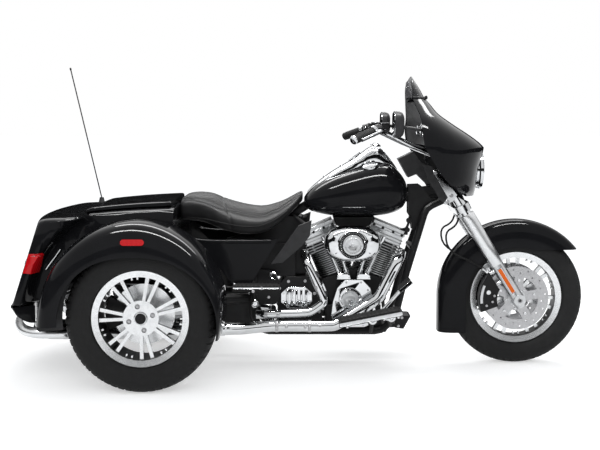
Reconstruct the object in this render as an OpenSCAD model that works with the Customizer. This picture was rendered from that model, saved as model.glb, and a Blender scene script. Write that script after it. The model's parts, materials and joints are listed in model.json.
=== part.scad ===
// Touring trike: a raked fork with a fork-mounted fairing, an air-cooled 45 degree V-twin,
// and a wide moulded trunk body between two faired rear wheels. Millimetres.
// X points forward, Y to the rider's left, Z up. The origin is on the floor, in the middle of the length.

/* [Overall] */
// Length over the front tyre and the rear bumper
overall_length = 2670; // [2620:5:2720]
// Width over the rear fenders
overall_width = 1390; // [1370:2:1430]
// Distance between the front and rear axles
wheelbase = 1692; // [1670:2:1710]
// Distance between the middles of the rear tyres
rear_track = 1100; // [1080:2:1110]

/* [Wheels] */
// Outside radius of the front tyre
front_tyre_r = 318; // [308:1:326]
// Width of the front tyre
front_tyre_w = 130; // [120:1:134]
// Outside radius of the front rim's flange
front_rim_r = 218; // [210:1:224]
// Width of the front rim over its flanges
front_rim_w = 100; // [92:1:106]
// Outside radius of a rear tyre
rear_tyre_r = 322; // [312:1:330]
// Width of a rear tyre
rear_tyre_w = 205; // [195:1:215]
// Outside radius of a rear rim's flange
rear_rim_r = 208; // [200:1:214]
// Width of a rear rim over its flanges
rear_rim_w = 168; // [156:1:176]
// Spoke pairs in each wheel
spoke_pairs = 7; // [5:1:9]
// Lug bolts in each rear wheel
lug_count = 4; // [3:1:6]
// Radius of the front axle
front_axle_r = 12.5; // [11:0.5:14]
// Radius of the drilling in each end of the front axle
front_axle_bore_r = 8; // [6:0.5:9]
// Depth of that drilling
front_axle_bore_depth = 30; // [20:1:36]
// Radius of the rear spindles
rear_spindle_r = 24; // [20:0.5:28]
// Running clearance between an axle and its hub
running_clearance = 0.05; // [0.02:0.01:0.1]

/* [Steering] */
// Angle of the steering head from vertical
rake = 26; // [25:0.5:28]
// Angle of the fork legs from vertical
fork_angle = 32; // [31:0.5:33]
// Distance on the floor from below the axle to the steering axis
trail = 100; // [92:1:108]
// Distance between the fork legs' axes
fork_spread = 236; // [230:1:244]
// Radius of the fork sliders
slider_r = 29; // [27:0.5:31]
// Radius of the upper fork tubes
fork_tube_r = 24; // [22:0.5:26]
// Width of the front brake discs' gap, over their outer faces
front_disc_gap = 142; // [136:1:148]
// Radius of the front brake discs
front_disc_r = 150; // [144:1:155]
// Outside radius of the front fender
front_fender_r = 368; // [362:1:376]
// Half width of the front fender
front_fender_half_w = 82; // [80:0.5:84]
// Thickness of the front fender
fender_wall = 3; // [2:0.5:4]

/* [Fairing] */
// Height of the fairing's nose above the floor
fairing_nose_z = 1030; // [1020:1:1040]
// Half width of the fairing
fairing_half_w = 425; // [410:1:440]
// Thickness of the fairing's shell
fairing_wall = 4; // [3:0.5:5]
// Outside radius of the headlamp's rim
headlamp_r = 92; // [86:1:96]
// Height of the headlamp above the floor
headlamp_z = 918; // [912:1:924]
// Height of the windscreen's top edge above the floor
screen_top_z = 1356; // [1340:1:1380]
// Thickness of the windscreen
screen_t = 4; // [3:0.5:5]

/* [Engine] */
// Distance of the crankshaft ahead of the rear axle
crank_ahead = 920; // [905:1:935]
// Height of the crankshaft above the floor
crank_z = 250; // [244:1:256]
// Angle between the two cylinders
vee_angle = 45; // [43:0.5:47]
// Radius of the cylinder fins
fin_r = 80; // [74:1:84]
// Fins on each cylinder
fin_count = 12; // [9:1:13]
// Width of the crankcase
case_w = 208; // [196:1:214]

/* [Body] */
// Height of the trunk's deck above the floor
deck_z = 772; // [764:1:780]
// Half width of the trunk at the tail lamps
trunk_half_w = 520; // [505:1:530]
// Half width of the trunk between the wheels
trunk_waist_half_w = 412; // [400:1:416]
// Thickness of the trunk's walls
trunk_wall = 14; // [10:1:18]
// Gap round the trunk door
door_gap = 6; // [5:0.5:8]
// Half width of the trunk door
door_half_w = 400; // [380:1:420]
// Height of the top of the fuel tank
tank_top_z = 958; // [948:1:966]
// Half width of the fuel tank
tank_half_w = 212; // [200:1:222]
// Half width of the rider's seat
seat_half_w = 190; // [180:1:200]

/* [Hidden] */
$fn = 48;
loft_sides = 24;
gap = 0.3;
front_axle_x = overall_length / 2 - front_tyre_r;
rear_axle_x = front_axle_x - wheelbase;
wheel_y = rear_track / 2;
half_len = overall_length / 2;
rear_overhang = half_len + rear_axle_x;
crank = [rear_axle_x + crank_ahead, 0, crank_z];

// Colours

paint_black = [0.03, 0.03, 0.035];
satin_black = [0.09, 0.09, 0.095];
rubber_black = [0.06, 0.06, 0.06];
leather_black = [0.12, 0.12, 0.125];
chrome = [0.82, 0.83, 0.85];
silver = [0.7, 0.71, 0.72];
steel = [0.55, 0.56, 0.58];
lens_red = [0.75, 0.03, 0.04];
lens_clear = [0.85, 0.9, 0.95, 0.4];
smoke = [0.1, 0.1, 0.11, 0.6];

// Vector and curve helpers

function unit(v) = v / norm(v);
function power(x, e) = sign(x) * pow(abs(x), e);

// A point on the smooth curve through the rows of a table, u from 0 to 1.
function row_at(rows, u) =
    let (n = len(rows) - 1, i = min(floor(u * n), n - 1), t = u * n - i,
         a = rows[max(i - 1, 0)], b = rows[i], c = rows[i + 1], d = rows[min(i + 2, n)])
    0.5 * (2 * b + (c - a) * t + (2 * a - 5 * b + 4 * c - d) * t * t + (3 * b - a - 3 * c + d) * t * t * t);

// A table with k smooth rows for each of its own steps.
function refine(rows, k) =
    let (n = (len(rows) - 1) * k) [for (i = [0 : n]) row_at(rows, i / n)];

// A path with each inner corner rounded over the distance r, in k steps.
function rounded(path, r, k = 5) = [
    path[0],
    for (i = [1 : len(path) - 2])
        let (p = path[i], a = p + unit(path[i - 1] - p) * r, b = p + unit(path[i + 1] - p) * r)
        for (j = [0 : k]) let (t = j / k) a * (1 - t) * (1 - t) + p * 2 * t * (1 - t) + b * t * t,
    path[len(path) - 1]
];

// A closed outline of n points in the YZ plane: half width w, from height lo to hi, squareness e.
function outline(x, w, lo, hi, e, n = loft_sides) =
    [for (i = [0 : n - 1]) let (a = 360 * (i + 0.5) / n)
        [x, w * power(cos(a), 2 / e), (lo + hi) / 2 + (hi - lo) / 2 * power(sin(a), 2 / e)]];

// Solids from rings and grids of points

// The two triangles of a quad of points, split along its shorter diagonal.
function halves(p, q) =
    norm(p[q[0]] - p[q[2]]) < norm(p[q[1]] - p[q[3]]) + 0.001
        ? [[q[0], q[1], q[2]], [q[0], q[2], q[3]]]
        : [[q[0], q[1], q[3]], [q[1], q[2], q[3]]];

// A closed solid through rings of the same number of points, ordered by the right hand along the path.
module loft(rings) {
    n = len(rings[0]);
    m = len(rings);
    points = [for (r = rings) each r];
    polyhedron(
        points = points,
        faces = concat(
            [[for (j = [0 : n - 1]) j]],
            [[for (j = [n - 1 : -1 : 0]) (m - 1) * n + j]],
            [for (i = [0 : m - 2], j = [0 : n - 1]) let (k = (j + 1) % n)
                each halves(points, [i * n + j, (i + 1) * n + j, (i + 1) * n + k, i * n + k])]
        ),
        convexity = 6
    );
}

function grid_normal(g, i, j) =
    let (m = len(g) - 1, n = len(g[0]) - 1)
    unit(cross(g[i][min(j + 1, n)] - g[i][max(j - 1, 0)], g[min(i + 1, m)][j] - g[max(i - 1, 0)][j]));

// A grid of points moved by d along its outward normals.
function raised(g, d) =
    [for (i = [0 : len(g) - 1]) [for (j = [0 : len(g[0]) - 1]) g[i][j] + d * grid_normal(g, i, j)]];

// A closed slab between two grids. Rows run by the left hand about the outward normal.
module slab(front, back) {
    m = len(front);
    n = len(front[0]);
    s = m * n;
    quads = concat(
        [for (i = [0 : m - 2], j = [0 : n - 2]) [i * n + j, (i + 1) * n + j, (i + 1) * n + j + 1, i * n + j + 1]],
        [for (i = [0 : m - 2], j = [0 : n - 2])
            [s + i * n + j, s + i * n + j + 1, s + (i + 1) * n + j + 1, s + (i + 1) * n + j]],
        [for (j = [0 : n - 2]) [j, j + 1, s + j + 1, s + j]],
        [for (j = [0 : n - 2]) let (r = (m - 1) * n) [r + j, s + r + j, s + r + j + 1, r + j + 1]],
        [for (i = [0 : m - 2]) [i * n, s + i * n, s + (i + 1) * n, (i + 1) * n]],
        [for (i = [0 : m - 2]) let (e = n - 1) [i * n + e, (i + 1) * n + e, s + (i + 1) * n + e, s + i * n + e]]
    );
    points = concat([for (r = front) each r], [for (r = back) each r]);
    polyhedron(points = points, faces = [for (q = quads) each halves(points, q)], convexity = 6);
}

// A sheet of thickness t behind a grid of points.
module sheet(g, t) slab(g, raised(g, -t));

// A round tube along a path. radii is one radius, or one for each point. side is never along the path.
module sweep(path, radii, side, n = 12) {
    m = len(path) - 1;
    loft([for (i = [0 : m])
        let (t = unit(path[min(i + 1, m)] - path[max(i - 1, 0)]), a = unit(cross(side, t)), b = cross(t, a),
             r = is_list(radii) ? radii[i] : radii)
        [for (k = [0 : n - 1]) let (q = 360 * k / n) path[i] + r * (cos(q) * a + sin(q) * b)]]);
}

// A straight round bar from p to q.
module bar(p, q, r) {
    d = q - p;
    translate(p)
        rotate([0, acos(d[2] / norm(d)), atan2(d[1], d[0])])
            cylinder(r = r, h = norm(d));
}

// Places a wheel-like child: its Z axis points to the rider's right.
module on_axle(p) translate(p) rotate([90, 0, 0]) children();

// Extrudes an XZ outline between two Y positions.
module side_plate(y0, y1) translate([0, y1, 0]) rotate([90, 0, 0]) linear_extrude(y1 - y0) children();

module both_sides() {
    children();
    mirror([0, 1, 0]) children();
}

// Wheels

rim_wall = 6;
rim_flange_t = 10;
rim_well = 24;
rim_step = 6;

// Tyre section as radius and width: a squarish crown of squareness e, down to the rim's bead seats.
module tyre(outer_r, w, rim_r, rim_w, e) {
    seat_r = rim_r - rim_well;
    mid = (outer_r + seat_r) / 2;
    half = (outer_r - seat_r) / 2;
    bead = rim_w / 2 - rim_flange_t - gap;
    crown = [for (a = [-115 : 11.5 : 115]) [mid + half * power(cos(a), 2 / e), w / 2 * power(sin(a), 2 / e)]];
    color(rubber_black)
        rotate_extrude()
            polygon(concat(
                [[seat_r + gap, -bead + rim_step], [rim_r + gap, -bead], [rim_r + gap, -rim_w / 2 + 2]],
                crown,
                [[rim_r + gap, rim_w / 2 - 2], [rim_r + gap, bead], [seat_r + gap, bead - rim_step]]
            ));
}

module rim(rim_r, rim_w) {
    seat_r = rim_r - rim_well;
    h = rim_w / 2;
    bead = h - rim_flange_t;
    inner = seat_r - rim_wall;
    rotate_extrude()
        polygon([
            [inner, -h + 4], [rim_r - 3, -h], [rim_r, -h + 3], [rim_r, -bead], [seat_r, -bead + rim_step],
            [seat_r, bead - rim_step], [rim_r, bead], [rim_r, h - 3], [rim_r - 3, h], [inner, h - 4]
        ]);
}

spoke_spread = 15;
spoke_w_hub = 13;
spoke_w_rim = 16;
spoke_t = 26;

function turned(a, p) = [p[0] * cos(a) - p[1] * sin(a), p[0] * sin(a) + p[1] * cos(a)];

// One edge of the lower spoke of a pair, from the hub to the rim: k is 1 for the edge inside the pair.
function spoke_edge(hub_r, reach, k) = [
    turned(-spoke_spread / 2, [hub_r - 8, k * spoke_w_hub / 2]), turned(-spoke_spread / 2, [reach, k * spoke_w_rim / 2])
];

front_spoke_turn = 41.6;
rear_spoke_turn = 21;

// Pairs of straight spokes from the hub to the rim, face at height z.
module spokes(hub_r, rim_r, z) {
    reach = rim_r - rim_well - rim_wall / 2;
    out = spoke_edge(hub_r, reach, -1);
    inner = spoke_edge(hub_r, reach, 1);
    a = inner[0];
    b = inner[1];
    fork = a[1] > 0 ? [a + (b - a) * a[1] / (a[1] - b[1])] : [a, [a[0], -a[1]]];
    pair = concat([out[0], out[1], b], fork, [[b[0], -b[1]], [out[1][0], -out[1][1]], [out[0][0], -out[0][1]]]);
    for (i = [0 : spoke_pairs - 1])
        rotate(360 * i / spoke_pairs) translate([0, 0, z - spoke_t]) linear_extrude(spoke_t) polygon(pair);
}

rib_w = 7;
rib_len = 16;
rib_drop = 3;

// Short ribs inside the rim, two between each pair of spokes.
module rim_ribs(rim_r, z) {
    reach = rim_r - rim_well - rim_wall / 2;
    for (i = [0 : spoke_pairs - 1], s = [-1, 1])
        rotate(360 * (i + 0.5) / spoke_pairs + s * 4)
            translate([reach - rib_len, -rib_w / 2, z - spoke_t + rib_drop])
                cube([rib_len, rib_w, spoke_t - 2 * rib_drop]);
}

front_hub_r = 46;
front_hub_w = front_disc_gap - 12;

module front_tyre() on_axle([front_axle_x, 0, front_tyre_r])
    tyre(front_tyre_r, front_tyre_w, front_rim_r, front_rim_w, 2.5);

module front_wheel() color(silver) on_axle([front_axle_x, 0, front_tyre_r]) difference() {
    union() {
        rim(front_rim_r, front_rim_w);
        rotate(front_spoke_turn) {
            spokes(front_hub_r, front_rim_r, spoke_t / 2 + 6);
            rim_ribs(front_rim_r, spoke_t / 2 + 6);
        }
        translate([0, 0, -front_hub_w / 2]) cylinder(r = front_hub_r, h = front_hub_w);
    }
    cylinder(r = front_axle_r + running_clearance, h = front_hub_w + 2, center = true);
}

disc_t = 6;
disc_band = 48;
disc_holes = 24;
disc_arms = 5;
disc_arm_w = 44;

module front_disc() linear_extrude(disc_t) difference() {
    union() {
        difference() {
            circle(r = front_disc_r);
            circle(r = front_disc_r - disc_band);
        }
        for (i = [0 : disc_arms - 1])
            rotate(360 * i / disc_arms + 11)
                translate([front_axle_r + 4, -disc_arm_w / 2])
                    square([front_disc_r - disc_band - front_axle_r, disc_arm_w]);
        circle(r = front_hub_r + 14);
    }
    circle(r = front_axle_r + 6);
    for (i = [0 : disc_holes - 1])
        rotate(360 * (i + 0.5) / disc_holes)
            translate([front_disc_r - disc_band * (i % 2 == 0 ? 0.3 : 0.65), 0])
                circle(r = 4);
}

module front_discs() color(steel) both_sides()
    on_axle([front_axle_x, -front_disc_gap / 2 + disc_t, front_tyre_r]) front_disc();

rear_hub_r = 76;
rear_hub_back = 40;
rear_cap_r = 30;
lug_circle_r = 52;
rear_disc_r = 132;
rear_disc_t = 8;
lug_turn = 15;

// A rear wheel's outer face stands this far out from its middle.
rear_face = rear_rim_w / 2 - 20;
rear_spindle_end = rear_face - 14;

module rear_wheel_right() color(silver) on_axle([rear_axle_x, -wheel_y, rear_tyre_r]) difference() {
    union() {
        rim(rear_rim_r, rear_rim_w);
        rotate(rear_spoke_turn) {
            spokes(rear_hub_r, rear_rim_r, rear_face);
            rim_ribs(rear_rim_r, rear_face);
        }
        translate([0, 0, -rear_hub_back]) cylinder(r = rear_hub_r, h = rear_hub_back + rear_face + 2);
        translate([0, 0, rear_face + 1]) cylinder(r1 = rear_cap_r, r2 = rear_cap_r - 5, h = 9);
        translate([0, 0, -rear_hub_back - rear_disc_t]) cylinder(r = rear_disc_r, h = rear_disc_t + 0.5);
    }
    translate([0, 0, -rear_hub_back - rear_disc_t - 1])
        cylinder(r = rear_spindle_r + running_clearance, h = rear_hub_back + rear_disc_t + 1 + rear_spindle_end + 1);
    for (i = [0 : lug_count - 1])
        rotate(360 * i / lug_count + lug_turn)
            translate([lug_circle_r, 0, rear_face - 10])
                cylinder(r = 11, h = 14);
}

module rear_tyre_right() on_axle([rear_axle_x, -wheel_y, rear_tyre_r])
    tyre(rear_tyre_r, rear_tyre_w, rear_rim_r, rear_rim_w, 3.2);

module rear_wheel_left() mirror([0, 1, 0]) rear_wheel_right();
module rear_tyre_left() mirror([0, 1, 0]) rear_tyre_right();

// Fork and front fender

fork_dir = [-sin(fork_angle), 0, cos(fork_angle)];
fork_out = [cos(fork_angle), 0, sin(fork_angle)];
steer_dir = [-sin(rake), 0, cos(rake)];
front_axle = [front_axle_x, 0, front_tyre_r];
steer_foot = [front_axle_x + trail, 0, 0];
slider_top = 455;
slider_foot = -34;
fork_top = 705;
clamp_low = front_tyre_r + 497;
clamp_high = clamp_low + 140;
clamp_t = 34;
clamp_r = 37;
stem_r = 14;
fork_y = fork_spread / 2;

// A point on the fork's centre plane, s along the legs from the axle.
function on_fork(s, y = 0) = front_axle + s * fork_dir + [0, y, 0];
// A point on the steering axis, s along it from the floor.
function on_steer(s) = steer_foot + s * steer_dir;

module along_steer(s) translate(on_steer(s)) rotate([0, -rake, 0]) children();

module fork_tubes() color(chrome) both_sides()
    bar(on_fork(slider_top, -fork_y), on_fork(fork_top, -fork_y), fork_tube_r);

ear_s = [112, 172];
ear_r = 9;
ear_reach = 50;
boss_s = [272, 326];

module fork_sliders() color(silver) both_sides() difference() {
    union() {
        bar(on_fork(slider_foot, -fork_y), on_fork(slider_top, -fork_y), slider_r);
        bar(on_fork(slider_top - 26, -fork_y), on_fork(slider_top, -fork_y), slider_r + 3);
        on_axle([front_axle_x, -fork_y + slider_r - 1, front_tyre_r]) cylinder(r = 27, h = 2 * slider_r + 4);
        for (s = ear_s)
            bar(on_fork(s, -fork_y + 16), on_fork(s, -fork_y + 16) - (ear_reach - gap) * fork_out, ear_r);
        for (s = boss_s)
            bar(on_fork(s, -front_fender_half_w - gap), on_fork(s, -fork_y), 11);
    }
    on_axle([front_axle_x, -fork_y + slider_r + 1, front_tyre_r]) cylinder(r = front_axle_r, h = 2 * slider_r + 8);
}

front_axle_half = fork_y + slider_r + 3;

module front_axle() color(steel) difference() {
    on_axle([front_axle_x, front_axle_half, front_tyre_r]) cylinder(r = front_axle_r, h = 2 * front_axle_half);
    both_sides()
        on_axle([front_axle_x, -front_axle_half + front_axle_bore_depth, front_tyre_r])
            cylinder(r = front_axle_bore_r, h = front_axle_bore_depth + 1);
}

// One clamp plate across both fork legs and the steering stem.
module clamp_plate(s) along_steer(s) hull() {
    cylinder(r = 30, h = clamp_t, $fn = 32);
    both_sides() translate([clamp_offset(s), -fork_y, 0]) cylinder(r = clamp_r, h = clamp_t, $fn = 32);
}

// How far the fork legs stand ahead of the steering axis, halfway up the clamp at s.
function clamp_offset(s) =
    let (d = front_axle - on_steer(s), slip = fork_angle - rake, k = (clamp_t / 2 - d * steer_dir) / cos(slip))
    d * [cos(rake), 0, sin(rake)] - k * sin(slip);

riser_y = 46;

module triple_clamps() color(satin_black) difference() {
    union() {
        clamp_plate(clamp_low);
        clamp_plate(clamp_high);
        bar(on_steer(clamp_low + 2), on_steer(clamp_high + 2), stem_r);
        bar(on_steer(clamp_high + clamp_t - 8), [lamp_x - lamp_depth - 2.3, 0, headlamp_z - 20], 12);
        both_sides()
            bar(on_steer(clamp_high + 20) + [0, -riser_y, 0], bar_middle + [0, -riser_y, -bar_r - gap], 13);
    }
    both_sides() bar(on_fork(slider_top, -fork_y), on_fork(fork_top + 60, -fork_y), fork_tube_r);
}

skirt_r = 240;
fender_front_z = 228;
fender_tail = 166;

// Half of the fender's section as radius and half width, from the skirt's edge to the crown.
function fender_section(wall) = [
    for (a = [0 : 15 : 180])
        [skirt_r + (front_fender_r - wall - skirt_r) * pow(sin(a), 0.55), (front_fender_half_w - wall) * power(cos(a), 0.55)]
];

module fender_profile() difference() {
    polygon(fender_section(0));
    polygon([for (p = fender_section(fender_wall)) [p[0] - (p[0] < skirt_r + 0.01 ? 1 : 0), p[1]]]);
}

module front_fender() color(paint_black) translate([front_axle_x, 0, front_tyre_r]) difference() {
    union() {
        rotate([90, 0, 0]) rotate_extrude(angle = 141, start = 39) fender_profile();
        rotate([0, 0, 180]) translate([0, 0, -fender_tail]) linear_extrude(fender_tail) fender_profile();
    }
    translate([0, -200, -200]) cube([600, 400, 200 + fender_front_z]);
}

// Frame

head_low = clamp_low + clamp_t + 3;
head_high = clamp_high - 3;
head_r = 34;
down_r = 17;
rail_y = 128;
rail_z = 172;
rear_rail_y = 110;
backbone_r = 22;

// A point the given distance ahead of the rear axle.
function ahead(d, y, z) = [rear_axle_x + d, y, z];

pivot_d = 455;
front_cross_d = 1064;
pivot_z = 320;
floor_z = 426;
rear_rail_z = floor_z - down_r - gap;

module steering_head() color(satin_black) difference() {
    bar(on_steer(head_low), on_steer(head_high), head_r);
    bar(on_steer(clamp_low), on_steer(clamp_high + clamp_t), stem_r + running_clearance);
}

// A tube straight across the frame, from rail to rail.
module cross_tube(d, y, z) hull() both_sides() translate(ahead(d, -y, z)) sphere(r = down_r - 3, $fn = 12);

// A flat gusset plate between two points of the frame.
module gusset(p, q, r) hull() {
    on_axle(p + [0, 4, 0]) cylinder(r = r, h = 8, $fn = 12);
    on_axle(q + [0, 4, 0]) cylinder(r = r, h = 8, $fn = 12);
}

// Neck plate and pivot plate outlines, as distance ahead of the rear axle and height.
neck_outline = [
    [1180, 850], [1232, 852], [1246, 840], [1300, 768], [1272, 729], [1246, 637], [1200, 637], [1190, 699], [1180, 715]
];
neck_y = [30, 38];
pivot_outline = [[440, 296], [532, 296], [532, 456], [470, 462], [440, 440]];
mount_outline = [[528, 296], [556, 296], [576, 330], [576, 400], [556, 452], [528, 456]];
pivot_y = [112, 122];

module frame() color(satin_black) difference() {
    union() {
        both_sides() {
            side_plate(-neck_y[1], -neck_y[0]) translate([rear_axle_x, 0]) polygon(neck_outline);
            side_plate(-pivot_y[1], -pivot_y[0]) translate([rear_axle_x, 0]) polygon(pivot_outline);
        }
        side_plate(-pivot_y[1], -pivot_y[0]) translate([rear_axle_x, 0]) polygon(mount_outline);
        sweep(rounded([
            on_steer(head_low + 42), ahead(700, 0, 760), ahead(560, 0, 640), ahead(330, 0, 575)
        ], 50, 2), backbone_r, [0, 1, 0], 12);
        both_sides()
            sweep(rounded([
                on_steer(head_low + 30) + [-26, -27, 0], ahead(1262, -56, 742), ahead(1160, -110, 420),
                ahead(1115, -rail_y, 240), ahead(1050, -rail_y, rail_z), ahead(pivot_d + 40, -rail_y, rail_z),
                ahead(pivot_d, -rail_y, 240), ahead(pivot_d, -rear_rail_y, 555), ahead(190, -rear_rail_y, rear_rail_z),
                ahead(-190, -rear_rail_y, rear_rail_z)
            ], 30, 2), down_r, [0, 1, 0], 12);
        gusset(on_steer(head_low + 20), ahead(1250, 0, 764), 16);
        cross_tube(330, rear_rail_y, 493);
        cross_tube(pivot_d - 2, rear_rail_y, 540);
        cross_tube(pivot_d + 84, rail_y, rail_z);
        cross_tube(front_cross_d, rail_y, rail_z + 8);
        cross_tube(1196, 92, 560);
        cross_tube(60, rear_rail_y, rear_rail_z);
        cross_tube(-160, rear_rail_y, rear_rail_z);
        gusset(ahead(340, 0, 500), ahead(340, 0, 574), 14);
    }
    bar(on_steer(head_low - 20), on_steer(head_high + 20), head_r + gap);
}

// Engine

rocker_ceiling = 692;
rocker_half = 76;
rocker_top = (rocker_ceiling - crank_z - rocker_half * sin(vee_angle / 2)) / cos(vee_angle / 2);
barrel_base = 0.45 * rocker_top;
barrel_top = 0.74 * rocker_top;
head_top = 0.896 * rocker_top;
barrel_core_r = 62;
fin_t = 4;
head_half = 84;
head_half_y = 84;

// Local Z runs up a cylinder; side is 1 for the front one and -1 for the rear one.
module on_cylinder(side) translate(crank) rotate([0, side * vee_angle / 2, 0]) children();

module vee_gap() translate([crank[0] - 3, -200, crank_z]) cube([6, 400, 500]);

module crankcase() color(satin_black) difference() {
    union() {
        on_axle([crank[0], case_w / 2, crank_z]) cylinder(r = 98, h = case_w);
        translate([crank[0] - 130, -case_w / 2, crank_z - 90]) cube([260, case_w, 130]);
        for (s = [-1, 1])
            on_cylinder(s) translate([-76, -76, 60]) cube([152, 152, barrel_base - 60]);
    }
}

module barrel() {
    pitch = (barrel_top - barrel_base - 10) / fin_count;
    rotate_extrude()
        polygon(concat(
            [[0, barrel_base], [barrel_core_r, barrel_base]],
            [for (i = [0 : fin_count - 1]) let (z = barrel_base + 8 + i * pitch)
                each [[barrel_core_r, z], [fin_r + 4, z], [fin_r + 4, z + fin_t], [barrel_core_r, z + fin_t]]],
            [[barrel_core_r, barrel_top], [0, barrel_top]]
        ));
}

head_fins = 6;

module cylinder_head() {
    pitch = (head_top - barrel_top - fin_t) / (head_fins - 1);
    translate([-60, -66, barrel_top - 1]) cube([120, 132, head_top - barrel_top + 1]);
    for (i = [0 : head_fins - 1])
        translate([-head_half, -head_half_y, barrel_top + i * pitch]) cube([2 * head_half, 2 * head_half_y, fin_t]);
}

module cylinders() color(satin_black) difference() {
    for (s = [-1, 1])
        on_cylinder(s) {
            barrel();
            cylinder_head();
        }
    vee_gap();
}

// Rocker cover layers: share of its height at the foot and top, half length and half width over rocker_half.
rocker_layers = [[0, 0.4, 2, 4], [0.4, 0.62, 8, 10], [0.62, 1, 0, 2]];

module rocker_covers() color(silver) difference() {
    h = rocker_top - head_top;
    for (s = [-1, 1], r = rocker_layers)
        on_cylinder(s)
            translate([-rocker_half - r[2], -rocker_half - r[3], head_top + h * r[0]])
                cube([2 * (rocker_half + r[2]), 2 * (rocker_half + r[3]), h * (r[1] - r[0])]);
    vee_gap();
}

pushrod_r = 9;
pushrod_collar = 3;
pushrod_y = head_half_y + pushrod_r + pushrod_collar + gap;

module pushrod_tubes() color(chrome) for (s = [-1, 1], k = [-1, 1]) {
    foot = [crank[0] + s * (40 + k * 16), -pushrod_y, crank_z + 0.386 * rocker_top];
    top = [crank[0] + s * (112 + k * 30), -pushrod_y, crank_z + 0.811 * rocker_top];
    bar(foot, top, pushrod_r);
    bar(foot, foot + (top - foot) * 0.22, pushrod_r + 4);
    bar(foot + (top - foot) * 0.86, top, pushrod_r + pushrod_collar);
}

cam_y = case_w / 2;
cam_cover_t = 46;

// Cam cover outline about the crankshaft, as distance ahead and height.
cam_outline = [
    [-104, 0], [-96, 66], [-76, 128], [-40, 166], [40, 166], [76, 128], [96, 66], [104, 0],
    [88, -40], [50, -56], [-50, -56], [-88, -40]
];

module cam_cover() color(chrome) {
    side_plate(-cam_y - cam_cover_t, -cam_y) translate([crank[0], crank_z]) polygon(cam_outline);
    on_axle([crank[0] - 16, -cam_y - cam_cover_t, crank_z + 76]) cylinder(r = 52, h = 8);
    on_axle([crank[0] - 16, -cam_y - cam_cover_t - 8, crank_z + 76]) cylinder(r = 40, h = 5);
}

air_box = [crank[0] - 10, 0, crank_z + 343];
air_half_w = 130;
air_half_h = 82;
air_y = 176;
air_depth = 96;

intake_y = 36;
intake_r = 24;

// How far the intake's ends stop short, so that their lower edges clear the leaning heads.
intake_set = 8.3;

// The middle of the intake's end. side is 1 for the front head.
function intake_end(side) =
    cylinder_point(side, [-side * (head_half + gap), -intake_y, (barrel_top + head_top) / 2])
        - [side * intake_set, 0, 0];

// Air cleaner rows: depth from its back, share of its outline.
air_rows = [[0, 0.94], [0.06, 1], [0.6, 1], [0.86, 0.93], [1, 0.8]];

module air_cleaner() color(chrome) {
    loft([for (r = air_rows)
        [for (i = [0 : 31]) let (a = 360 * i / 32)
            [air_box[0] + air_half_w * r[1] * power(cos(a), 0.8), -air_y - air_depth * r[0],
             air_box[2] + air_half_h * r[1] * power(sin(a), 0.8)]]]);
    on_axle([air_box[0], -air_y - air_depth, air_box[2]]) {
        cylinder(r = 63, h = 6);
        cylinder(r = 46, h = 10);
    }
    on_axle([air_box[0], -intake_y, air_box[2]]) cylinder(r = 30, h = air_y - intake_y);
    bar(intake_end(-1), intake_end(1), intake_r);
}

gearbox_front = crank[0] - 144.8;
gearbox_rear = gearbox_front - 210;
gearbox_top = 424;

module gearbox() color(satin_black) {
    side_plate(-case_w / 2 + 4, case_w / 2 - 4)
        polygon([
            [gearbox_front, 196], [gearbox_front, 400], [gearbox_front - 60, gearbox_top], [gearbox_rear + 40, gearbox_top],
            [gearbox_rear, 380], [gearbox_rear, 240], [gearbox_rear + 40, 196]
        ]);
}

gear_cover_t = 34;
gear_cover_outline = [[-72, 22], [-40, 50], [40, 50], [72, 22], [72, -22], [40, -50], [-40, -50], [-72, -22]];

module gearbox_cover() color(chrome) {
    mid = [(gearbox_front + gearbox_rear) / 2 - 15, 330];
    side_plate(-case_w / 2 + 4 - gear_cover_t, -case_w / 2 + 4) translate(mid) polygon(gear_cover_outline);
    for (i = [-2 : 2])
        translate([mid[0] + i * 22 - 4, -case_w / 2 - gear_cover_t, mid[1] - 36]) cube([8, 4.5, 72]);
}

primary_t = 70;

module primary_cover() color(chrome) {
    side_plate(case_w / 2, case_w / 2 + primary_t) hull() {
        translate([crank[0], crank_z + 46]) circle(r = 104);
        translate([crank[0] - 270, crank_z + 60]) circle(r = 108);
    }
    on_axle([crank[0] - 262, case_w / 2 + primary_t + 12, crank_z + 60]) cylinder(r = 84, h = 12);
    on_axle([crank[0], case_w / 2 + primary_t + 10, crank_z + 46]) cylinder(r = 52, h = 10);
}

battery_half_w = 90;

// The battery box fills the frame behind the engine and rests on the gearbox.
module battery_box() color(satin_black)
    side_plate(-battery_half_w, battery_half_w)
        polygon([
            [rear_axle_x + 475, 440], [rear_axle_x + 486, gearbox_top + gap], [rear_axle_x + 650, gearbox_top + gap],
            [rear_axle_x + 650, 560], [rear_axle_x + 632, 578], [rear_axle_x + 475, 578]
        ]);

// Regulator outline as distance ahead of the rear axle and height, with a lug back to the front cross tube.
regulator_outline = [
    [1131, 231], [1187, 231], [1154, 169], [1121, 174], [1118, 176], [front_cross_d + 14, 174],
    [front_cross_d + 14, 186], [1122, 196]
];
regulator_half_w = 62;

module regulator() color(satin_black)
    side_plate(-regulator_half_w, regulator_half_w) translate([rear_axle_x, 0]) polygon(regulator_outline);

// Exhaust

bend_steps = 3;
port_y = 52;
header_r = 20;
shield_r = 27;
pipe_y = 212;
muffler_r = 46;
muffler_y = 300;
muffler_z = 214;
muffler_front = 330;
muffler_tail = 520;
cross_d = 541;

// A point in a cylinder's own axes, side 1 for the front one and -1 for the rear one.
function cylinder_point(side, v) =
    let (a = side * vee_angle / 2) crank + [v[0] * cos(a) + v[2] * sin(a), v[1], -v[0] * sin(a) + v[2] * cos(a)];

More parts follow.
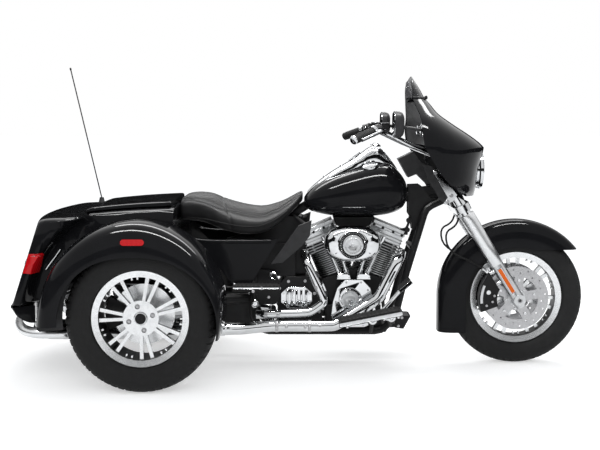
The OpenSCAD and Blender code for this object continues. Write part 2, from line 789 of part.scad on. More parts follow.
module exhaust() color(chrome) {
    port_z = (barrel_top + head_top) / 2 - 16;
    front = rounded([
        cylinder_point(1, [head_half + gap, -port_y, port_z]), cylinder_point(1, [head_half + 26, -port_y, port_z]),
        [crank[0] + 197, -pipe_y, crank_z + 267], [crank[0] + 112, -pipe_y - 8, crank_z + 92],
        [crank[0] + 2, -pipe_y - 8, crank_z + 22], [crank[0] - 90, -pipe_y - 8, muffler_z],
        ahead(cross_d, -pipe_y - 8, muffler_z),
        ahead(400, -muffler_y, muffler_z), ahead(muffler_front, -muffler_y, muffler_z)
    ], 24, bend_steps);
    sweep(front, [for (i = [0 : len(front) - 1]) i < bend_steps + 2 ? header_r : shield_r], [0, 0.9, 0.5], 14);
    rear = rounded([
        cylinder_point(-1, [-head_half - gap, -port_y, port_z]), cylinder_point(-1, [-head_half - 26, -port_y, port_z]),
        [crank[0] - 218, -pipe_y, crank_z + 256], [crank[0] - 132, -pipe_y - 6, crank_z + 74],
        [crank[0] - 202, -pipe_y - 6, crank_z + 24], ahead(470, -pipe_y - 6, crank_z + 16)
    ], 24, bend_steps);
    sweep(rear, header_r, [0, 0.9, 0.5], 14);
    sweep(rounded([
        ahead(cross_d, -pipe_y + 12, muffler_z), ahead(cross_d, muffler_y - 60, muffler_z),
        ahead(420, muffler_y, muffler_z), ahead(muffler_front, muffler_y, muffler_z)
    ], 40, bend_steps), header_r, [0, 0, 1], 14);
    both_sides() {
        bar(ahead(muffler_front + 4, -muffler_y, muffler_z), ahead(250, -muffler_y, muffler_z), shield_r + 4);
        bar(ahead(252, -muffler_y, muffler_z), ahead(-muffler_tail + 60, -muffler_y, muffler_z), muffler_r);
        bar(ahead(-muffler_tail + 62, -muffler_y, muffler_z), ahead(-muffler_tail, -muffler_y, muffler_z), muffler_r - 8);
    }
}

// Tank, console and seat

// Tank rows: distance ahead of the rear axle, underside, height of the top below tank_top_z, share of the half width, squareness.
tank_rows = [
    [690, 752, 172, 0.3, 2.2], [706, 736, 146, 0.5, 2.3], [750, 716, 104, 0.68, 2.4], [830, 704, 62, 0.84, 2.5],
    [930, 702, 28, 0.96, 2.6], [1030, 704, 3, 1, 2.6], [1100, 714, 14, 0.95, 2.5], [1146, 736, 58, 0.78, 2.4],
    [1166, 766, 90, 0.52, 2.2], [1172, 800, 110, 0.2, 2]
];

tunnel_half = backbone_r + gap;

module fuel_tank() color(paint_black) difference() {
    loft([for (r = refine(tank_rows, 2))
        outline(rear_axle_x + r[0], tank_half_w * r[3], r[1], tank_top_z - r[2], r[4])]);
    hull() {
        translate(ahead(640, -tunnel_half, 600)) cube([10, 2 * tunnel_half, 190]);
        translate(ahead(1240, -tunnel_half, 600)) cube([10, 2 * tunnel_half, 246]);
    }
}

// Console rows: distance ahead of the rear axle, underside, top, half width.
console_rows = [
    [706, 800, 818, 20], [740, 826, 852, 46], [820, 880, 912, 60], [900, 918, 958, 66], [960, 942, 1000, 68],
    [1000, 952, 1028, 66], [1040, 950, 1030, 62], [1084, 936, 986, 54], [1128, 906, 926, 30]
];

module tank_console() color(chrome) difference() {
    loft([for (r = refine(console_rows, 2)) outline(rear_axle_x + r[0], r[3], r[1] - 26, r[2], 3)]);
    loft([for (r = refine(tank_rows, 2))
        outline(rear_axle_x + r[0], tank_half_w * r[3] + gap, r[1], tank_top_z - r[2] + gap, r[4])]);
}

// Seat rows: distance ahead of the rear axle, underside at the middle, top, share of the half width, drop of the edges.
seat_rows = [
    [119, 700, 780, 0.74, 0], [126, 690, 798, 0.82, 0], [160, 686, 810, 0.86, 4], [208, 684, 814, 0.88, 10],
    [262, 676, 808, 0.9, 26], [318, 664, 786, 0.96, 40], [400, 650, 762, 1, 44], [483, 650, 749, 1, 40],
    [545, 672, 758, 0.92, 34], [612, 716.4, 784, 0.68, 26], [660, 756.4, 812, 0.46, 14], [684, 776.4, 822, 0.26, 4]
];

function seat_ring(r) =
    [for (p = outline(rear_axle_x + r[0], seat_half_w * r[3], r[1], r[2], 3.2))
        [p[0], p[1], p[2] - r[4] * pow(abs(p[1]) / (seat_half_w * r[3]), 2)]];

module seat() color(leather_black) loft([for (r = refine(seat_rows, 2)) seat_ring(r)]);

// Side cover outline as distance ahead of the rear axle and height.
cover_outline = [[166, 622], [262, 612], [548, 612], [575, 618], [450, 413], [360, 413], [290, 500]];
cover_y = 196;
cover_t = 40;

module side_covers() color(paint_black) both_sides() {
    side_plate(-cover_y - cover_t, -cover_y) translate([rear_axle_x, 0]) polygon(cover_outline);
    bar(ahead(pivot_d, -cover_y - 2, 520), ahead(pivot_d, -rear_rail_y - down_r - 2.4, 520), 10);
}

// Air deflector outline as distance ahead of the rear axle and height.
deflector_outline = [[724, 700], [664, 676], [540, 502], [592, 508], [680, 584], [716, 630]];

module air_deflectors() color(satin_black) both_sides() {
    side_plate(-236, -210) translate([rear_axle_x, 0]) polygon(deflector_outline);
    bar(ahead(700, -214, 678), ahead(636, -backbone_r - gap - 1.55, 706), 8);
}

// Footboards and controls

board_y = 292;
board_w = 118;
board_t = 22;
board_tilt = 11;
board_foot = [846, 240];
board_len = 286;
arm_r = 9;
arm_set = 3.4;
// Footboard arms: distance ahead of the rear axle, height at the rail.
board_arms = [[1000, rail_z], [1085, rail_z + 36]];
pillion_y = 240;
pillion_z = 388;

// Height of the rider's footboard above the floor, d ahead of the rear axle.
function board_top(d) = board_foot[1] + (d - board_foot[0]) * tan(board_tilt) + board_t / cos(board_tilt);

module footboards() color(rubber_black) both_sides() {
    translate(ahead(board_foot[0], -board_y - board_w, board_foot[1])) rotate([0, -board_tilt, 0])
        cube([board_len, board_w, board_t]);
    for (a = board_arms)
        bar(ahead(a[0], -rail_y - down_r - arm_set, a[1]), ahead(a[0], -board_y - 36, board_top(a[0]) - board_t / 2), arm_r);
    translate(ahead(368, -pillion_y - 90, pillion_z)) cube([212, 90, board_t]);
    bar(ahead(pivot_d, -pillion_y - 10, pillion_z + 11), ahead(pivot_d, -rear_rail_y - down_r - 9.2, pillion_z + 11), 10);
}

pedal_d = 1036;
pedal_in = 14;
pedal_r = 8;

// The pedals turn on stubs on the boards' inner edges, and stand inboard of the boards.
module foot_controls() color(chrome) {
    foot = ahead(pedal_d, -board_y + pedal_in, board_top(pedal_d) - board_t / 2);
    both_sides() bar(foot + [0, pedal_in, 0], foot - [0, pedal_in - gap, 0], pedal_r + 3);
    bar(foot, ahead(1160, -board_y + pedal_in, 428), pedal_r);
    translate(ahead(1120, -board_y - 74, 392)) rotate([0, -40, 0]) cube([64, 94, 14]);
    mirror([0, 1, 0]) {
        bar(foot, ahead(1160, -board_y + pedal_in, 396), pedal_r - 1);
        bar(ahead(1160, -board_y - 70, 396), ahead(1160, -board_y + pedal_in + 6, 396), pedal_r + 3);
    }
}

// Rear axle and suspension

axle_tube_r = 36;
diff_r = 76;
swing_y = 80;
swing_r = 24;
lug_y = 300;
lug_top = 312;
hub_flange_r = 56;
pivot_half = 104.4;

module rear_axle() color(satin_black) {
    on_axle([rear_axle_x, 120, rear_tyre_r]) cylinder(r = diff_r - 14, h = 240);
    on_axle([rear_axle_x, 50, rear_tyre_r]) cylinder(r = diff_r, h = 100);
    both_sides() {
        on_axle([rear_axle_x, -100, rear_tyre_r]) cylinder(r = axle_tube_r, h = wheel_y - rear_hub_back - 20 - 100);
        on_axle([rear_axle_x, -wheel_y + rear_hub_back + 60, rear_tyre_r]) cylinder(r = hub_flange_r, h = 40);
        on_axle([rear_axle_x, -wheel_y + rear_hub_back + 22, rear_tyre_r])
            cylinder(r = rear_spindle_r, h = rear_hub_back + 22 + rear_spindle_end);
        bar(ahead(0, -swing_y - 130, rear_tyre_r), ahead(pivot_d, -swing_y, pivot_z), swing_r);
        translate(ahead(0, -lug_y - 30, lug_top - 18)) cube([shock_d + 36, 60, 18]);
    }
    bar(ahead(pivot_d, -pivot_half, pivot_z), ahead(pivot_d, pivot_half, pivot_z), swing_r + 4);
}

shock_r = 34;
shock_d = 76;
shock_coils = 6;

module rear_shocks() color(satin_black) both_sides() translate(ahead(shock_d, -lug_y, lug_top + gap)) {
    h = floor_z - lug_top - 2 * gap;
    pitch = (h - 24) / shock_coils;
    rotate_extrude() polygon(concat(
        [[0, 0], [shock_r, 0], [shock_r, 10]],
        [for (i = [0 : shock_coils - 1]) let (z = 12 + i * pitch)
            each [[shock_r - 12, z], [shock_r - 2, z + pitch * 0.25], [shock_r - 2, z + pitch * 0.6], [shock_r - 12, z + pitch * 0.85]]],
        [[shock_r, h - 10], [shock_r, h], [0, h]]
    ));
}

rear_caliper_turn = 152;

module rear_calipers() color(satin_black) both_sides()
    on_axle([rear_axle_x, -wheel_y, rear_tyre_r]) difference() {
        rotate_extrude(angle = 52, start = rear_caliper_turn) union() {
            translate([84, -rear_hub_back - 38]) square([82, 50]);
            translate([hub_flange_r + gap, -rear_hub_back - 38]) square([40, 18]);
        }
        translate([0, 0, -rear_hub_back - rear_disc_t - 3]) cylinder(r = rear_disc_r + 4, h = rear_disc_t + 6);
    }

// Trunk body and rear fenders

// Rear fender rows: angle up from straight ahead, radius of the crown, radius of the lip, both from the axle.
fender_rows = [
    [-14, 344, 330], [6, 353, 324], [26, 366, 308], [48, 379, 288], [70, 394, 274], [90, 411, 268], [110, 419, 280],
    [130, 428, 306], [150, 436, 326], [168, 440, 336], [184, 450, 340]
];
fender_in = trunk_waist_half_w + gap;
fender_out = overall_width / 2;
fender_t = 5;

// Fender radius at an angle, read off its rows.
function crown_r(a) = lookup(a, [for (r = fender_rows) [r[0], r[1]]]);

// Section across a fender: share of the way out, share of the way down to the lip.
fender_across = [[1, 1], [1, 0.78], [0.97, 0.48], [0.9, 0.24], [0.78, 0.09], [0.6, 0.02], [0.3, 0], [0, 0]];

module rear_fender() sheet([
    for (r = refine(fender_rows, 2)) [
        for (s = fender_across)
            let (d = min(r[1] - r[2], 130), rad = r[1] - s[1] * d - (s[1] >= 1 ? r[1] - r[2] - d : 0))
            [rear_axle_x + rad * cos(r[0]), -fender_in - s[0] * (fender_out - fender_in), rear_tyre_r + rad * sin(r[0])]
    ]
], fender_t);

module rear_fenders() color(paint_black) both_sides() rear_fender();

tail_z0 = 345;
tail_inset = 88;
tail_x0 = tail_inset - rear_overhang;
tail_slant = 0.334;
tail_crown = 60;
trunk_front = 115;

// The rear face's distance ahead of the rear axle, at half width y and height z.
function tail_x(y, z) = tail_x0 + tail_slant * (z - tail_z0) - tail_crown * (1 - pow(y / trunk_half_w, 2));

function smooth(t) = let (u = min(max(t, 0), 1)) u * u * (3 - 2 * u);

// Half width of the trunk at a point: the waist between the wheels, flaring outside the fenders' crown behind them.
function flare(x, z) =
    let (r = norm([x, z - rear_tyre_r]), a = atan2(z - rear_tyre_r, x), b = a < -90 ? a + 360 : a)
    trunk_waist_half_w
        + (trunk_half_w - trunk_waist_half_w) * smooth((r - crown_r(b) - 32) / 56) * smooth((b - 85) / 40);

// Points up one side of a trunk section: share of the height, how far the corner is cut back.
trunk_side = [
    [0, 42], [0.03, 16], [0.12, 3], [0.25, 0], [0.4, 0], [0.51, 0], [0.62, 0], [0.76, 0], [0.88, 3], [0.97, 18], [1, 44]
];
// Trunk sections: share of the way to the rear face, underside, how far the top and sides are drawn in, drop of the deck.
trunk_rows = [
    [0, floor_z + 2, 8, 4], [0.03, floor_z, 0, 4], [0.28, floor_z, 0, 10], [0.5, floor_z, 0, 20], [0.62, 412, 0, 28],
    [0.7, 385, 0, 34], [0.77, 362, 0, 37], [0.84, 350, 1, 38], [0.9, 346, 3, 37], [0.95, 345, 8, 34],
    [0.985, 345, 17, 29], [1, 345, 28, 24]
];

fine_rows = [for (r = refine(trunk_rows, 2)) [r[0], r[1], max(r[2], 0), r[3]]];

// A ring of points round the trunk. w over zero sets its half width.
function trunk_ring(r, w = 0) =
    let (lo = r[1], hi = deck_z - r[2] - r[3],
         side = [for (s = trunk_side)
            let (z = lo + (hi - lo) * s[0], x0 = trunk_front * (1 - r[0]),
                 xm = x0 + r[0] * tail_x(trunk_half_w, z),
                 y = (w > 0 ? w : flare(xm, z) - r[2]) - s[1])
            [rear_axle_x + x0 + r[0] * tail_x(y, z), y, z]],
         n = len(side) - 1, top = side[n], low = side[0])
    concat(
        side,
        [for (k = [0.6, 0.2, -0.2, -0.6]) let (x0 = trunk_front * (1 - r[0]))
            [rear_axle_x + x0 + r[0] * tail_x(top[1] * k, top[2]), top[1] * k, top[2]]],
        [for (i = [n : -1 : 0]) [side[i][0], -side[i][1], side[i][2]]],
        [for (k = [-0.6, -0.2, 0.2, 0.6]) let (x0 = trunk_front * (1 - r[0]))
            [rear_axle_x + x0 + r[0] * tail_x(low[1] * k, low[2]), low[1] * k, low[2]]]
    );

door_lo = 378;
door_hi = 690;
room_half_w = trunk_waist_half_w - trunk_wall;

// A ring round the door's mouth in the rear face.
function mouth_ring(share, w, lo, hi) = trunk_ring([share, lo, deck_z - hi, 0], w);

module trunk_body() color(paint_black) {
    skin = [for (r = fine_rows) trunk_ring(r)];
    mouth = [
        mouth_ring(1, door_half_w + door_gap, door_lo - door_gap, door_hi + door_gap),
        mouth_ring(0.955, door_half_w + door_gap, door_lo - door_gap, door_hi + door_gap),
        mouth_ring(0.954, door_half_w - 10, door_lo + 12, door_hi - 12),
        mouth_ring(0.93, door_half_w - 10, door_lo + 12, door_hi - 12)
    ];
    room = [for (i = [len(trunk_rows) - 4 : -1 : 1]) let (r = trunk_rows[i])
        trunk_ring([r[0], r[1] + trunk_wall, r[2] + trunk_wall, r[3]], room_half_w)];
    front_wall = [for (p = room[len(room) - 1]) [rear_axle_x + trunk_front - trunk_wall, p[1], p[2]]];
    rings = concat(skin, mouth, [for (i = [0 : len(room) - 2]) room[i]], [front_wall]);
    loft([for (i = [len(rings) - 1 : -1 : 0]) rings[i]]);
}

// The door's outer face: rows up its height, rounded at the corners like the mouth, and columns across.
door_face = [for (s = trunk_side) let (z = door_lo + (door_hi - door_lo) * s[0], half = door_half_w - s[1])
    [for (k = [1 : -0.25 : -1]) [rear_axle_x + tail_x(half * k, z), half * k, z]]];
door_t = 24;

// The door's back is lower at its top, so that the edge swings clear of the mouth.
door_ease = 9;
door_back = [for (i = [0 : len(door_face) - 1]) [for (p = door_face[i]) p + [door_t, 0, -door_ease * trunk_side[i][0]]]];

module trunk_door() color(paint_black) slab(door_face, door_back);

hinge_r = 6;
hinge_len = 60;
hinge_z = [420, 600];
hinge_off = 8;
leaf_len = 56;
leaf_t = 4;
leaf_lift = 0.2;

// A point on the trunk door's hinge axis at height z: just outside the rear face, at the door's left edge.
function hinge_point(z) = [rear_axle_x + tail_x(door_half_w, z) - hinge_off, door_half_w + door_gap / 2, z];

// Two hinge leaves that lie on the door's outer face and turn about the hinge axis.
module door_hinges() color(chrome) for (z = hinge_z)
    translate(hinge_point(z)) rotate([0, atan(tail_slant), 0]) linear_extrude(hinge_len) {
        back = function (y) hinge_off * cos(atan(tail_slant)) - leaf_lift
            + (tail_x(door_half_w + y, z) - tail_x(door_half_w, z)) * cos(atan(tail_slant));
        circle(r = hinge_r);
        polygon([
            [back(-8) - leaf_t, 0], [back(-8), -8], [back(-leaf_len), -leaf_len],
            [back(-leaf_len) - leaf_t, -leaf_len], [-hinge_r + 1, -3]
        ]);
    }

// The deck's line along its middle, as distance ahead of the rear axle and height.
deck_line = [for (r = fine_rows) let (z = deck_z - r[2] - r[3]) [trunk_front * (1 - r[0]) + r[0] * tail_x(0, z), z]];
// Height of the deck, d ahead of the rear axle and y from the middle.
function deck_at(d, y = 0) =
    let (share = (trunk_front - d) / (trunk_front - tail_x(0, deck_z)))
    lookup(d - share * tail_crown * pow(y / trunk_half_w, 2), deck_line);

// Deck cover rows: distance ahead of the rear axle, height over the deck, half width.
deck_rows = [[-290, 3, 270], [-284, 14, 290], [-260, 20, 300], [86, 24, 300], [93, 19, 290], [96, 4, 276]];

module deck_cover() color(paint_black) {
    ends = [for (r = deck_rows) r[0]];
    joins = [for (i = [len(deck_line) - 1 : -1 : 0]) deck_line[i][0]];
    places = [for (i = [0 : len(ends) - 1]) each concat(
        [ends[i]], i < len(ends) - 1 ? [for (d = joins) if (d > ends[i] + 0.5 && d < ends[i + 1] - 0.5) d] : []
    )];
    loft([for (d = places)
        let (h = lookup(d, [for (r = deck_rows) [r[0], r[1]]]), w = lookup(d, [for (r = deck_rows) [r[0], r[2]]]))
        [for (p = outline(rear_axle_x + d, w, 0, 1, 8)) [p[0], p[1], deck_at(d) + gap + p[2] * h]]]);
}

lamp_t = 9;
lamp_lift = 1.2;
lamp_rows = [16, 17, 18, 19, 20];
lamp_side = [4, 5, 6];

function mirrored(p) = [p[0], -p[1], p[2]];

// A raised lens on the trunk's right flank, over the given sections and side points.
module tail_lens(rows, side, t) {
    g = [for (i = rows) let (ring = trunk_ring(fine_rows[i])) [for (j = side) mirrored(ring[j])]];
    slab(raised(g, lamp_lift + t), raised(g, lamp_lift));
}

marker_half = 36;
marker_r = 13;
marker_t = 3.5;
marker_tilt = 12.3;
marker_at = [rear_axle_x - 20, -fender_out + 4.2, rear_tyre_r + 330];

module tail_lamps() color(lens_red) both_sides() {
    tail_lens(lamp_rows, lamp_side, lamp_t);
    translate(marker_at) rotate([90 - marker_tilt, 0, 0]) translate([0, 0, gap]) hull() {
        translate([-marker_half, 0, 0]) cylinder(r = marker_r, h = marker_t);
        translate([marker_half, 0, 0]) cylinder(r = marker_r, h = marker_t);
    }
}

// A bar of constant section along a level path. section is distance out and up.
module level_rail(path, section) {
    m = len(path) - 1;
    loft([for (i = [0 : m])
        let (t = unit(path[min(i + 1, m)] - path[max(i - 1, 0)]), out = cross([0, 0, 1], t))
        [for (s = section) path[i] + s[0] * out + [0, 0, s[1]]]]);
}

bumper_z = 238;
bumper_h = 48;
bumper_half_w = 455;
bumper_bow = 100;
bumper_section = [[0, -1], [0.55, -0.85], [0.9, -0.5], [1, 0], [0.9, 0.5], [0.55, 0.85], [0, 1]];
bumper_d = 34;
stay_y = 250;
stay_r = 9;
valance_low = 268;

module rear_bumper() color(chrome) {
    rear = function (y) -half_len + bumper_d + bumper_bow * pow(y / bumper_half_w, 2);
    end = [rear_axle_x - 330, -bumper_half_w - 51, bumper_z];
    corner = [rear(bumper_half_w) + 62, -bumper_half_w - 57, bumper_z];
    bow = [for (k = [-1 : 0.25 : 1]) [rear(k * bumper_half_w), k * bumper_half_w, bumper_z]];
    path = concat(
        rounded([end, corner, bow[0]], 30, bend_steps), [for (i = [1 : len(bow) - 2]) bow[i]],
        rounded([bow[len(bow) - 1], mirrored(corner), mirrored(end)], 30, bend_steps)
    );
    level_rail(path, [for (s = bumper_section) [s[0] * bumper_d, s[1] * bumper_h / 2]]);
    both_sides()
        bar([rear(stay_y) - 6, -stay_y, valance_low - stay_r - gap],
            [rear_axle_x + tail_x(stay_y, tail_z0) + 86, -stay_y, valance_low - stay_r - gap], stay_r);
}

// Section of the lip under the trunk's tail: distance out from the rear face, height.
valance_section = [[-92, valance_low], [-62, valance_low], [-14, 298], [-4, 318], [8, 338], [0, tail_z0 - gap], [-92, tail_z0 - gap]];

module rear_valance() color(paint_black) {
    across = [for (y = [-440 : 88 : 440]) [rear_axle_x + tail_x(y, tail_z0), y, 0]];
    corner = [for (k = [-1, 1]) [rear_axle_x + tail_x(480, tail_z0) + 12, k * 474, 0]];
    level_rail(concat([corner[0]], across, [corner[1]]), valance_section);
}

antenna_y = 350;
antenna_r = 3;
antenna_d = -332;
antenna_foot_r = 16;

module antenna() color(satin_black) {
    foot = ahead(antenna_d, antenna_y, deck_at(antenna_d + antenna_foot_r, antenna_y) + gap);
    translate(foot) cylinder(r1 = antenna_foot_r, r2 = 10, h = 26);
    bar(foot + [0, 0, 24], ahead(antenna_d - 145, antenna_y, deck_z + 637), antenna_r);
}

// Front end: fairing, lamp and bars

// Fairing rows: height over the nose, nose and rear edge ahead of the front axle, share of the half width.
fairing_rows = [
    [-226, -205, -262, 0.36], [-200, -202, -310, 0.64], [-156, -197, -368, 0.83], [-95, -189, -417, 0.92],
    [-36, -170, -455, 0.98], [-4, -163, -476, 1], [16, -179, -482, 1], [54, -232, -488, 0.98], [91, -293, -490, 0.94],
    [127, -347, -488, 0.85], [155, -387, -494, 0.73], [194, -412, -504, 0.55], [224, -441, -511, 0.4]
];

function fairing_row(r, n = 18) =
    [for (i = [0 : n]) let (s = -cos(180 * i / n))
        [front_axle_x + r[2] + (r[1] - r[2]) * pow(1 - pow(abs(s), 2.4), 0.62),
         fairing_half_w * r[3] * s, fairing_nose_z + r[0]]];

lamp_x = front_axle_x - 190;
lamp_depth = 70;

module fairing_outer() color(paint_black) difference() {
    sheet([for (r = fairing_rows) fairing_row(r)], fairing_wall);
    translate([lamp_x - 120, 0, headlamp_z]) rotate([0, 90, 0]) cylinder(r = headlamp_r - 13 + gap, h = 240);
    translate([lamp_x + 2, 0, headlamp_z]) rotate([0, 90, 0]) cylinder(r = headlamp_r + 2, h = 80);
}

module headlamp() color(chrome) translate([lamp_x, 0, headlamp_z]) rotate([0, 90, 0]) {
    rotate_extrude() polygon([
        [headlamp_r - 13, -lamp_depth], [headlamp_r - 13, 4], [headlamp_r - 4, 4], [headlamp_r, 10], [headlamp_r - 2, 22],
        [headlamp_r - 10, 26], [headlamp_r - 16, 20], [headlamp_r - 16, 4 - lamp_depth], [0, 4 - lamp_depth], [0, -lamp_depth]
    ]);
}

module headlamp_lens() color(lens_clear) translate([lamp_x, 0, headlamp_z]) rotate([0, 90, 0])
    rotate_extrude() polygon(concat(
        [[0, 14]], [[headlamp_r - 16.3, 14]],
        [for (a = [0 : 15 : 90]) [(headlamp_r - 16.3) * cos(a), 19 + 15 * sin(a)]]
    ));

// Inner fairing rows: height over the nose, depth of the panel ahead of the fairing's rear edge.
inner_rows = [[6, 34], [40, 56], [80, 66], [120, 62], [160, 48], [206, 30]];
inner_gap = 5.5;

// Half width of the fairing at a height over its nose.
function fairing_w(h) = fairing_half_w * lookup(h, [for (q = fairing_rows) [q[0], q[3]]]);

function inner_row(r, n = 14) =
    let (edge = lookup(r[0], [for (q = fairing_rows) [q[0], q[2]]]),
         lean = (fairing_w(r[0] - 8) - fairing_w(r[0] + 8)) / 16,
         w = fairing_w(r[0]) - (fairing_wall + inner_gap) * norm([1, lean]))
    [for (i = [0 : n]) let (s = cos(180 * i / n))
        [front_axle_x + edge + 6 + r[1] * (1 - pow(abs(s), 3)), w * s, fairing_nose_z + r[0]]];

module fairing_inner() color(satin_black) sheet([for (r = refine(inner_rows, 2)) inner_row(r)], fairing_wall);

// Windscreen rows: share of the height, middle and edge ahead of the front axle, half width.
screen_rows = [[0, -441, -511, 170], [0.35, -459, -512, 166], [0.7, -482, -513, 146], [1, -501, -514, 104]];

module windscreen() color(smoke) {
    foot = fairing_nose_z + fairing_rows[len(fairing_rows) - 1][0] + gap;
    sheet([for (r = refine(screen_rows, 2)) [for (i = [0 : 14]) let (s = -cos(180 * i / 14))
        [front_axle_x + r[2] + (r[1] - r[2]) * pow(1 - pow(abs(s), 2.4), 0.62), r[3] * s,
         foot + (screen_top_z - foot) * r[0] - 24 * r[0] * s * s]]], screen_t);
}

bracket_y = fork_y + clamp_r + gap;
bracket_t = 9;

// Bracket outline ahead of the front axle, and height.
bracket_outline = [[-414, 922], [-392, 928], [-300, 812], [-318, 782], [-352, 766], [-362, 774], [-344, 800]];

module fairing_brackets() color(chrome) both_sides()
    side_plate(-bracket_y - bracket_t, -bracket_y) translate([front_axle_x, 0]) polygon(bracket_outline);

// Steering cover outline as distance ahead of the rear axle and height: it hides the lock behind the top clamp.
lock_outline = [[1130, 971], [1201, 1006], [1268, 919], [1298, 850], [1262, 856], [1218, 900], [1179, 884]];
lock_half_w = 40;
lock_lug = [33, 40, 18];

module steering_cover() color(satin_black) {
    side_plate(-lock_half_w, lock_half_w) translate([rear_axle_x, 0]) polygon(lock_outline);
    along_steer(clamp_high)
        translate([clamp_offset(clamp_high) - clamp_r - gap - lock_lug[0], -lock_lug[1] / 2, 10])
            cube(lock_lug);
}

bar_r = 12.5;
bar_middle = [front_axle_x - 376, 0, 980];

// The right half of the handlebar, from the middle out to the grip's end.
bar_half = [
    bar_middle + [0, -30, 0], bar_middle + [-10, -90, 6], [front_axle_x - 520, -210, 1040],
    [front_axle_x - 640, -262, 1098], [front_axle_x - 680, -330, 1112], [front_axle_x - 785, -445, 1070]
];
grip_end = bar_half[5];
grip_dir = unit(bar_half[4] - bar_half[5]);
grip_len = 119;
grip_r = 19;

module handlebar() color(chrome) {
    path = rounded(concat([for (i = [5 : -1 : 0]) bar_half[i]], [for (p = bar_half) mirrored(p)]), 20, bend_steps);
    sweep(path, bar_r, [1, 0.2, 1], 12);
}

module grips() color(rubber_black) both_sides() difference() {
    bar(grip_end - 7 * grip_dir, grip_end + grip_len * grip_dir, grip_r);
    bar(grip_end - gap * grip_dir, grip_end + (grip_len + 1) * grip_dir, bar_r + 0.1);
}

lever_out = 47 * unit(cross(grip_dir, [0, 0, 1]));

module hand_controls() color(chrome) both_sides() {
    a = grip_end + (grip_len + gap) * grip_dir;
    b = a + 20 * grip_dir;
    difference() {
        union() {
            bar(a, b, 24);
            bar((a + b) / 2, (a + b) / 2 + lever_out, 9);
            bar((a + b) / 2 + lever_out, grip_end + lever_out - 10 * grip_dir, 7);
        }
        bar(a - grip_dir, b + grip_dir, bar_r + 0.1);
    }
}

mirror_mid = [front_axle_x - 590, -372, 1134];

// Mirror sections: place along X, share of the outline.
mirror_rows = [[-22, 0.93], [-20, 1], [4, 1], [16, 0.86], [22, 0.55]];

module mirrors() color(satin_black) both_sides() {
    loft([for (r = mirror_rows) [for (p = outline(r[0], 76 * r[1], -58 * r[1], 58 * r[1], 4, 20)) mirror_mid + p]]);
    bar(mirror_mid + [10, -12, -10], mirror_mid + [106, -14, -24], 8);
}

caliper_turn = 136;

module front_calipers() color(satin_black) both_sides() difference() {
    on_axle([front_axle_x, 0, front_tyre_r]) difference() {
        rotate_extrude(angle = 64, start = caliper_turn)
            translate([98, front_disc_gap / 2 - 27]) square([84, 62]);
        translate([0, 0, front_disc_gap / 2 - disc_t - 3]) cylinder(r = front_disc_r + 4, h = disc_t + 6);
    }
    translate(front_axle) rotate([0, -fork_angle, 0]) translate([-ear_reach, -300, 0]) cube([200, 600, 400]);
}

module brake_hoses() color(rubber_black) both_sides() {
    top = on_steer(clamp_low - gap) + [-18, -70, -9];
    sweep(rounded([
        top, top - 26 * steer_dir, front_axle + [-346, -88, 312], front_axle + [-326, -96, 222],
        front_axle + [-206, -100, 170], front_axle + [-146, -92, 128]
    ], 24, bend_steps), 4.5, [0, 1, 0], 8);
}

// Everything that shows

frame();
steering_head();
crankcase();
cylinders();
rocker_covers();
cam_cover();
pushrod_tubes();
air_cleaner();
gearbox();
gearbox_cover();
primary_cover();
battery_box();
regulator();
exhaust();
fuel_tank();
tank_console();
seat();
side_covers();
air_deflectors();
footboards();
foot_controls();
rear_axle();
rear_shocks();
rear_calipers();
trunk_body();
rear_fenders();
deck_cover();
trunk_door();
door_hinges();
tail_lamps();
rear_valance();
rear_bumper();
antenna();
triple_clamps();
fork_tubes();
fork_sliders();
front_axle();
front_fender();
front_calipers();
brake_hoses();
fairing_outer();
fairing_inner();
windscreen();
headlamp();
headlamp_lens();
fairing_brackets();
steering_cover();
handlebar();
grips();
hand_controls();
mirrors();
front_tyre();
front_wheel();
front_discs();
rear_tyre_right();
rear_wheel_right();
rear_tyre_left();
rear_wheel_left();
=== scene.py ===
"""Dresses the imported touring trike: smooth panels, tyres, seat, fittings, materials, studio and camera."""
import json
import math

import bmesh
import bpy
from mathutils import Matrix, Vector
from mathutils.bvhtree import BVHTree


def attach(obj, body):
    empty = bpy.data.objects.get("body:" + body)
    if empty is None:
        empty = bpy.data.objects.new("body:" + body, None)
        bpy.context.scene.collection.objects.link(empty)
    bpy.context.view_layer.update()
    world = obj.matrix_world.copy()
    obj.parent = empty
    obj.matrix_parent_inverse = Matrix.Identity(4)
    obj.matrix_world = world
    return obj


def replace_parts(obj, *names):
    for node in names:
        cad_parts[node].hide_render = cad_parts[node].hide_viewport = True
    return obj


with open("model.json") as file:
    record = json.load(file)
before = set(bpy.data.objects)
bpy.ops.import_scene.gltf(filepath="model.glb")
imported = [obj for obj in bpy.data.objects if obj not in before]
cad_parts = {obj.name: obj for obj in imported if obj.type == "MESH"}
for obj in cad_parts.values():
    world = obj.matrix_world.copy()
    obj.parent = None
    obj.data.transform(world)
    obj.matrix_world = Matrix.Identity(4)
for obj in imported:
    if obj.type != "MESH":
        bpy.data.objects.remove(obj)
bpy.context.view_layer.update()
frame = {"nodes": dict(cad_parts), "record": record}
nodes = frame["nodes"]
scene = bpy.context.scene
scene.view_settings.view_transform = "Standard"
body_of = {n: b for b, names in frame["record"]["behaviour"]["bodies"].items() for n in names}
slot_of = {s["node"]: s["material_slot"] for s in frame["record"]["subparts"]}


def slanted(angle):
    """Axes of a piece tipped up at its front by an angle in degrees."""
    a = math.radians(angle)
    return Matrix(((math.cos(a), 0, -math.sin(a)), (0, 1, 0), (math.sin(a), 0, math.cos(a))))


# Places shared with the solids, in millimetres, and angles in degrees

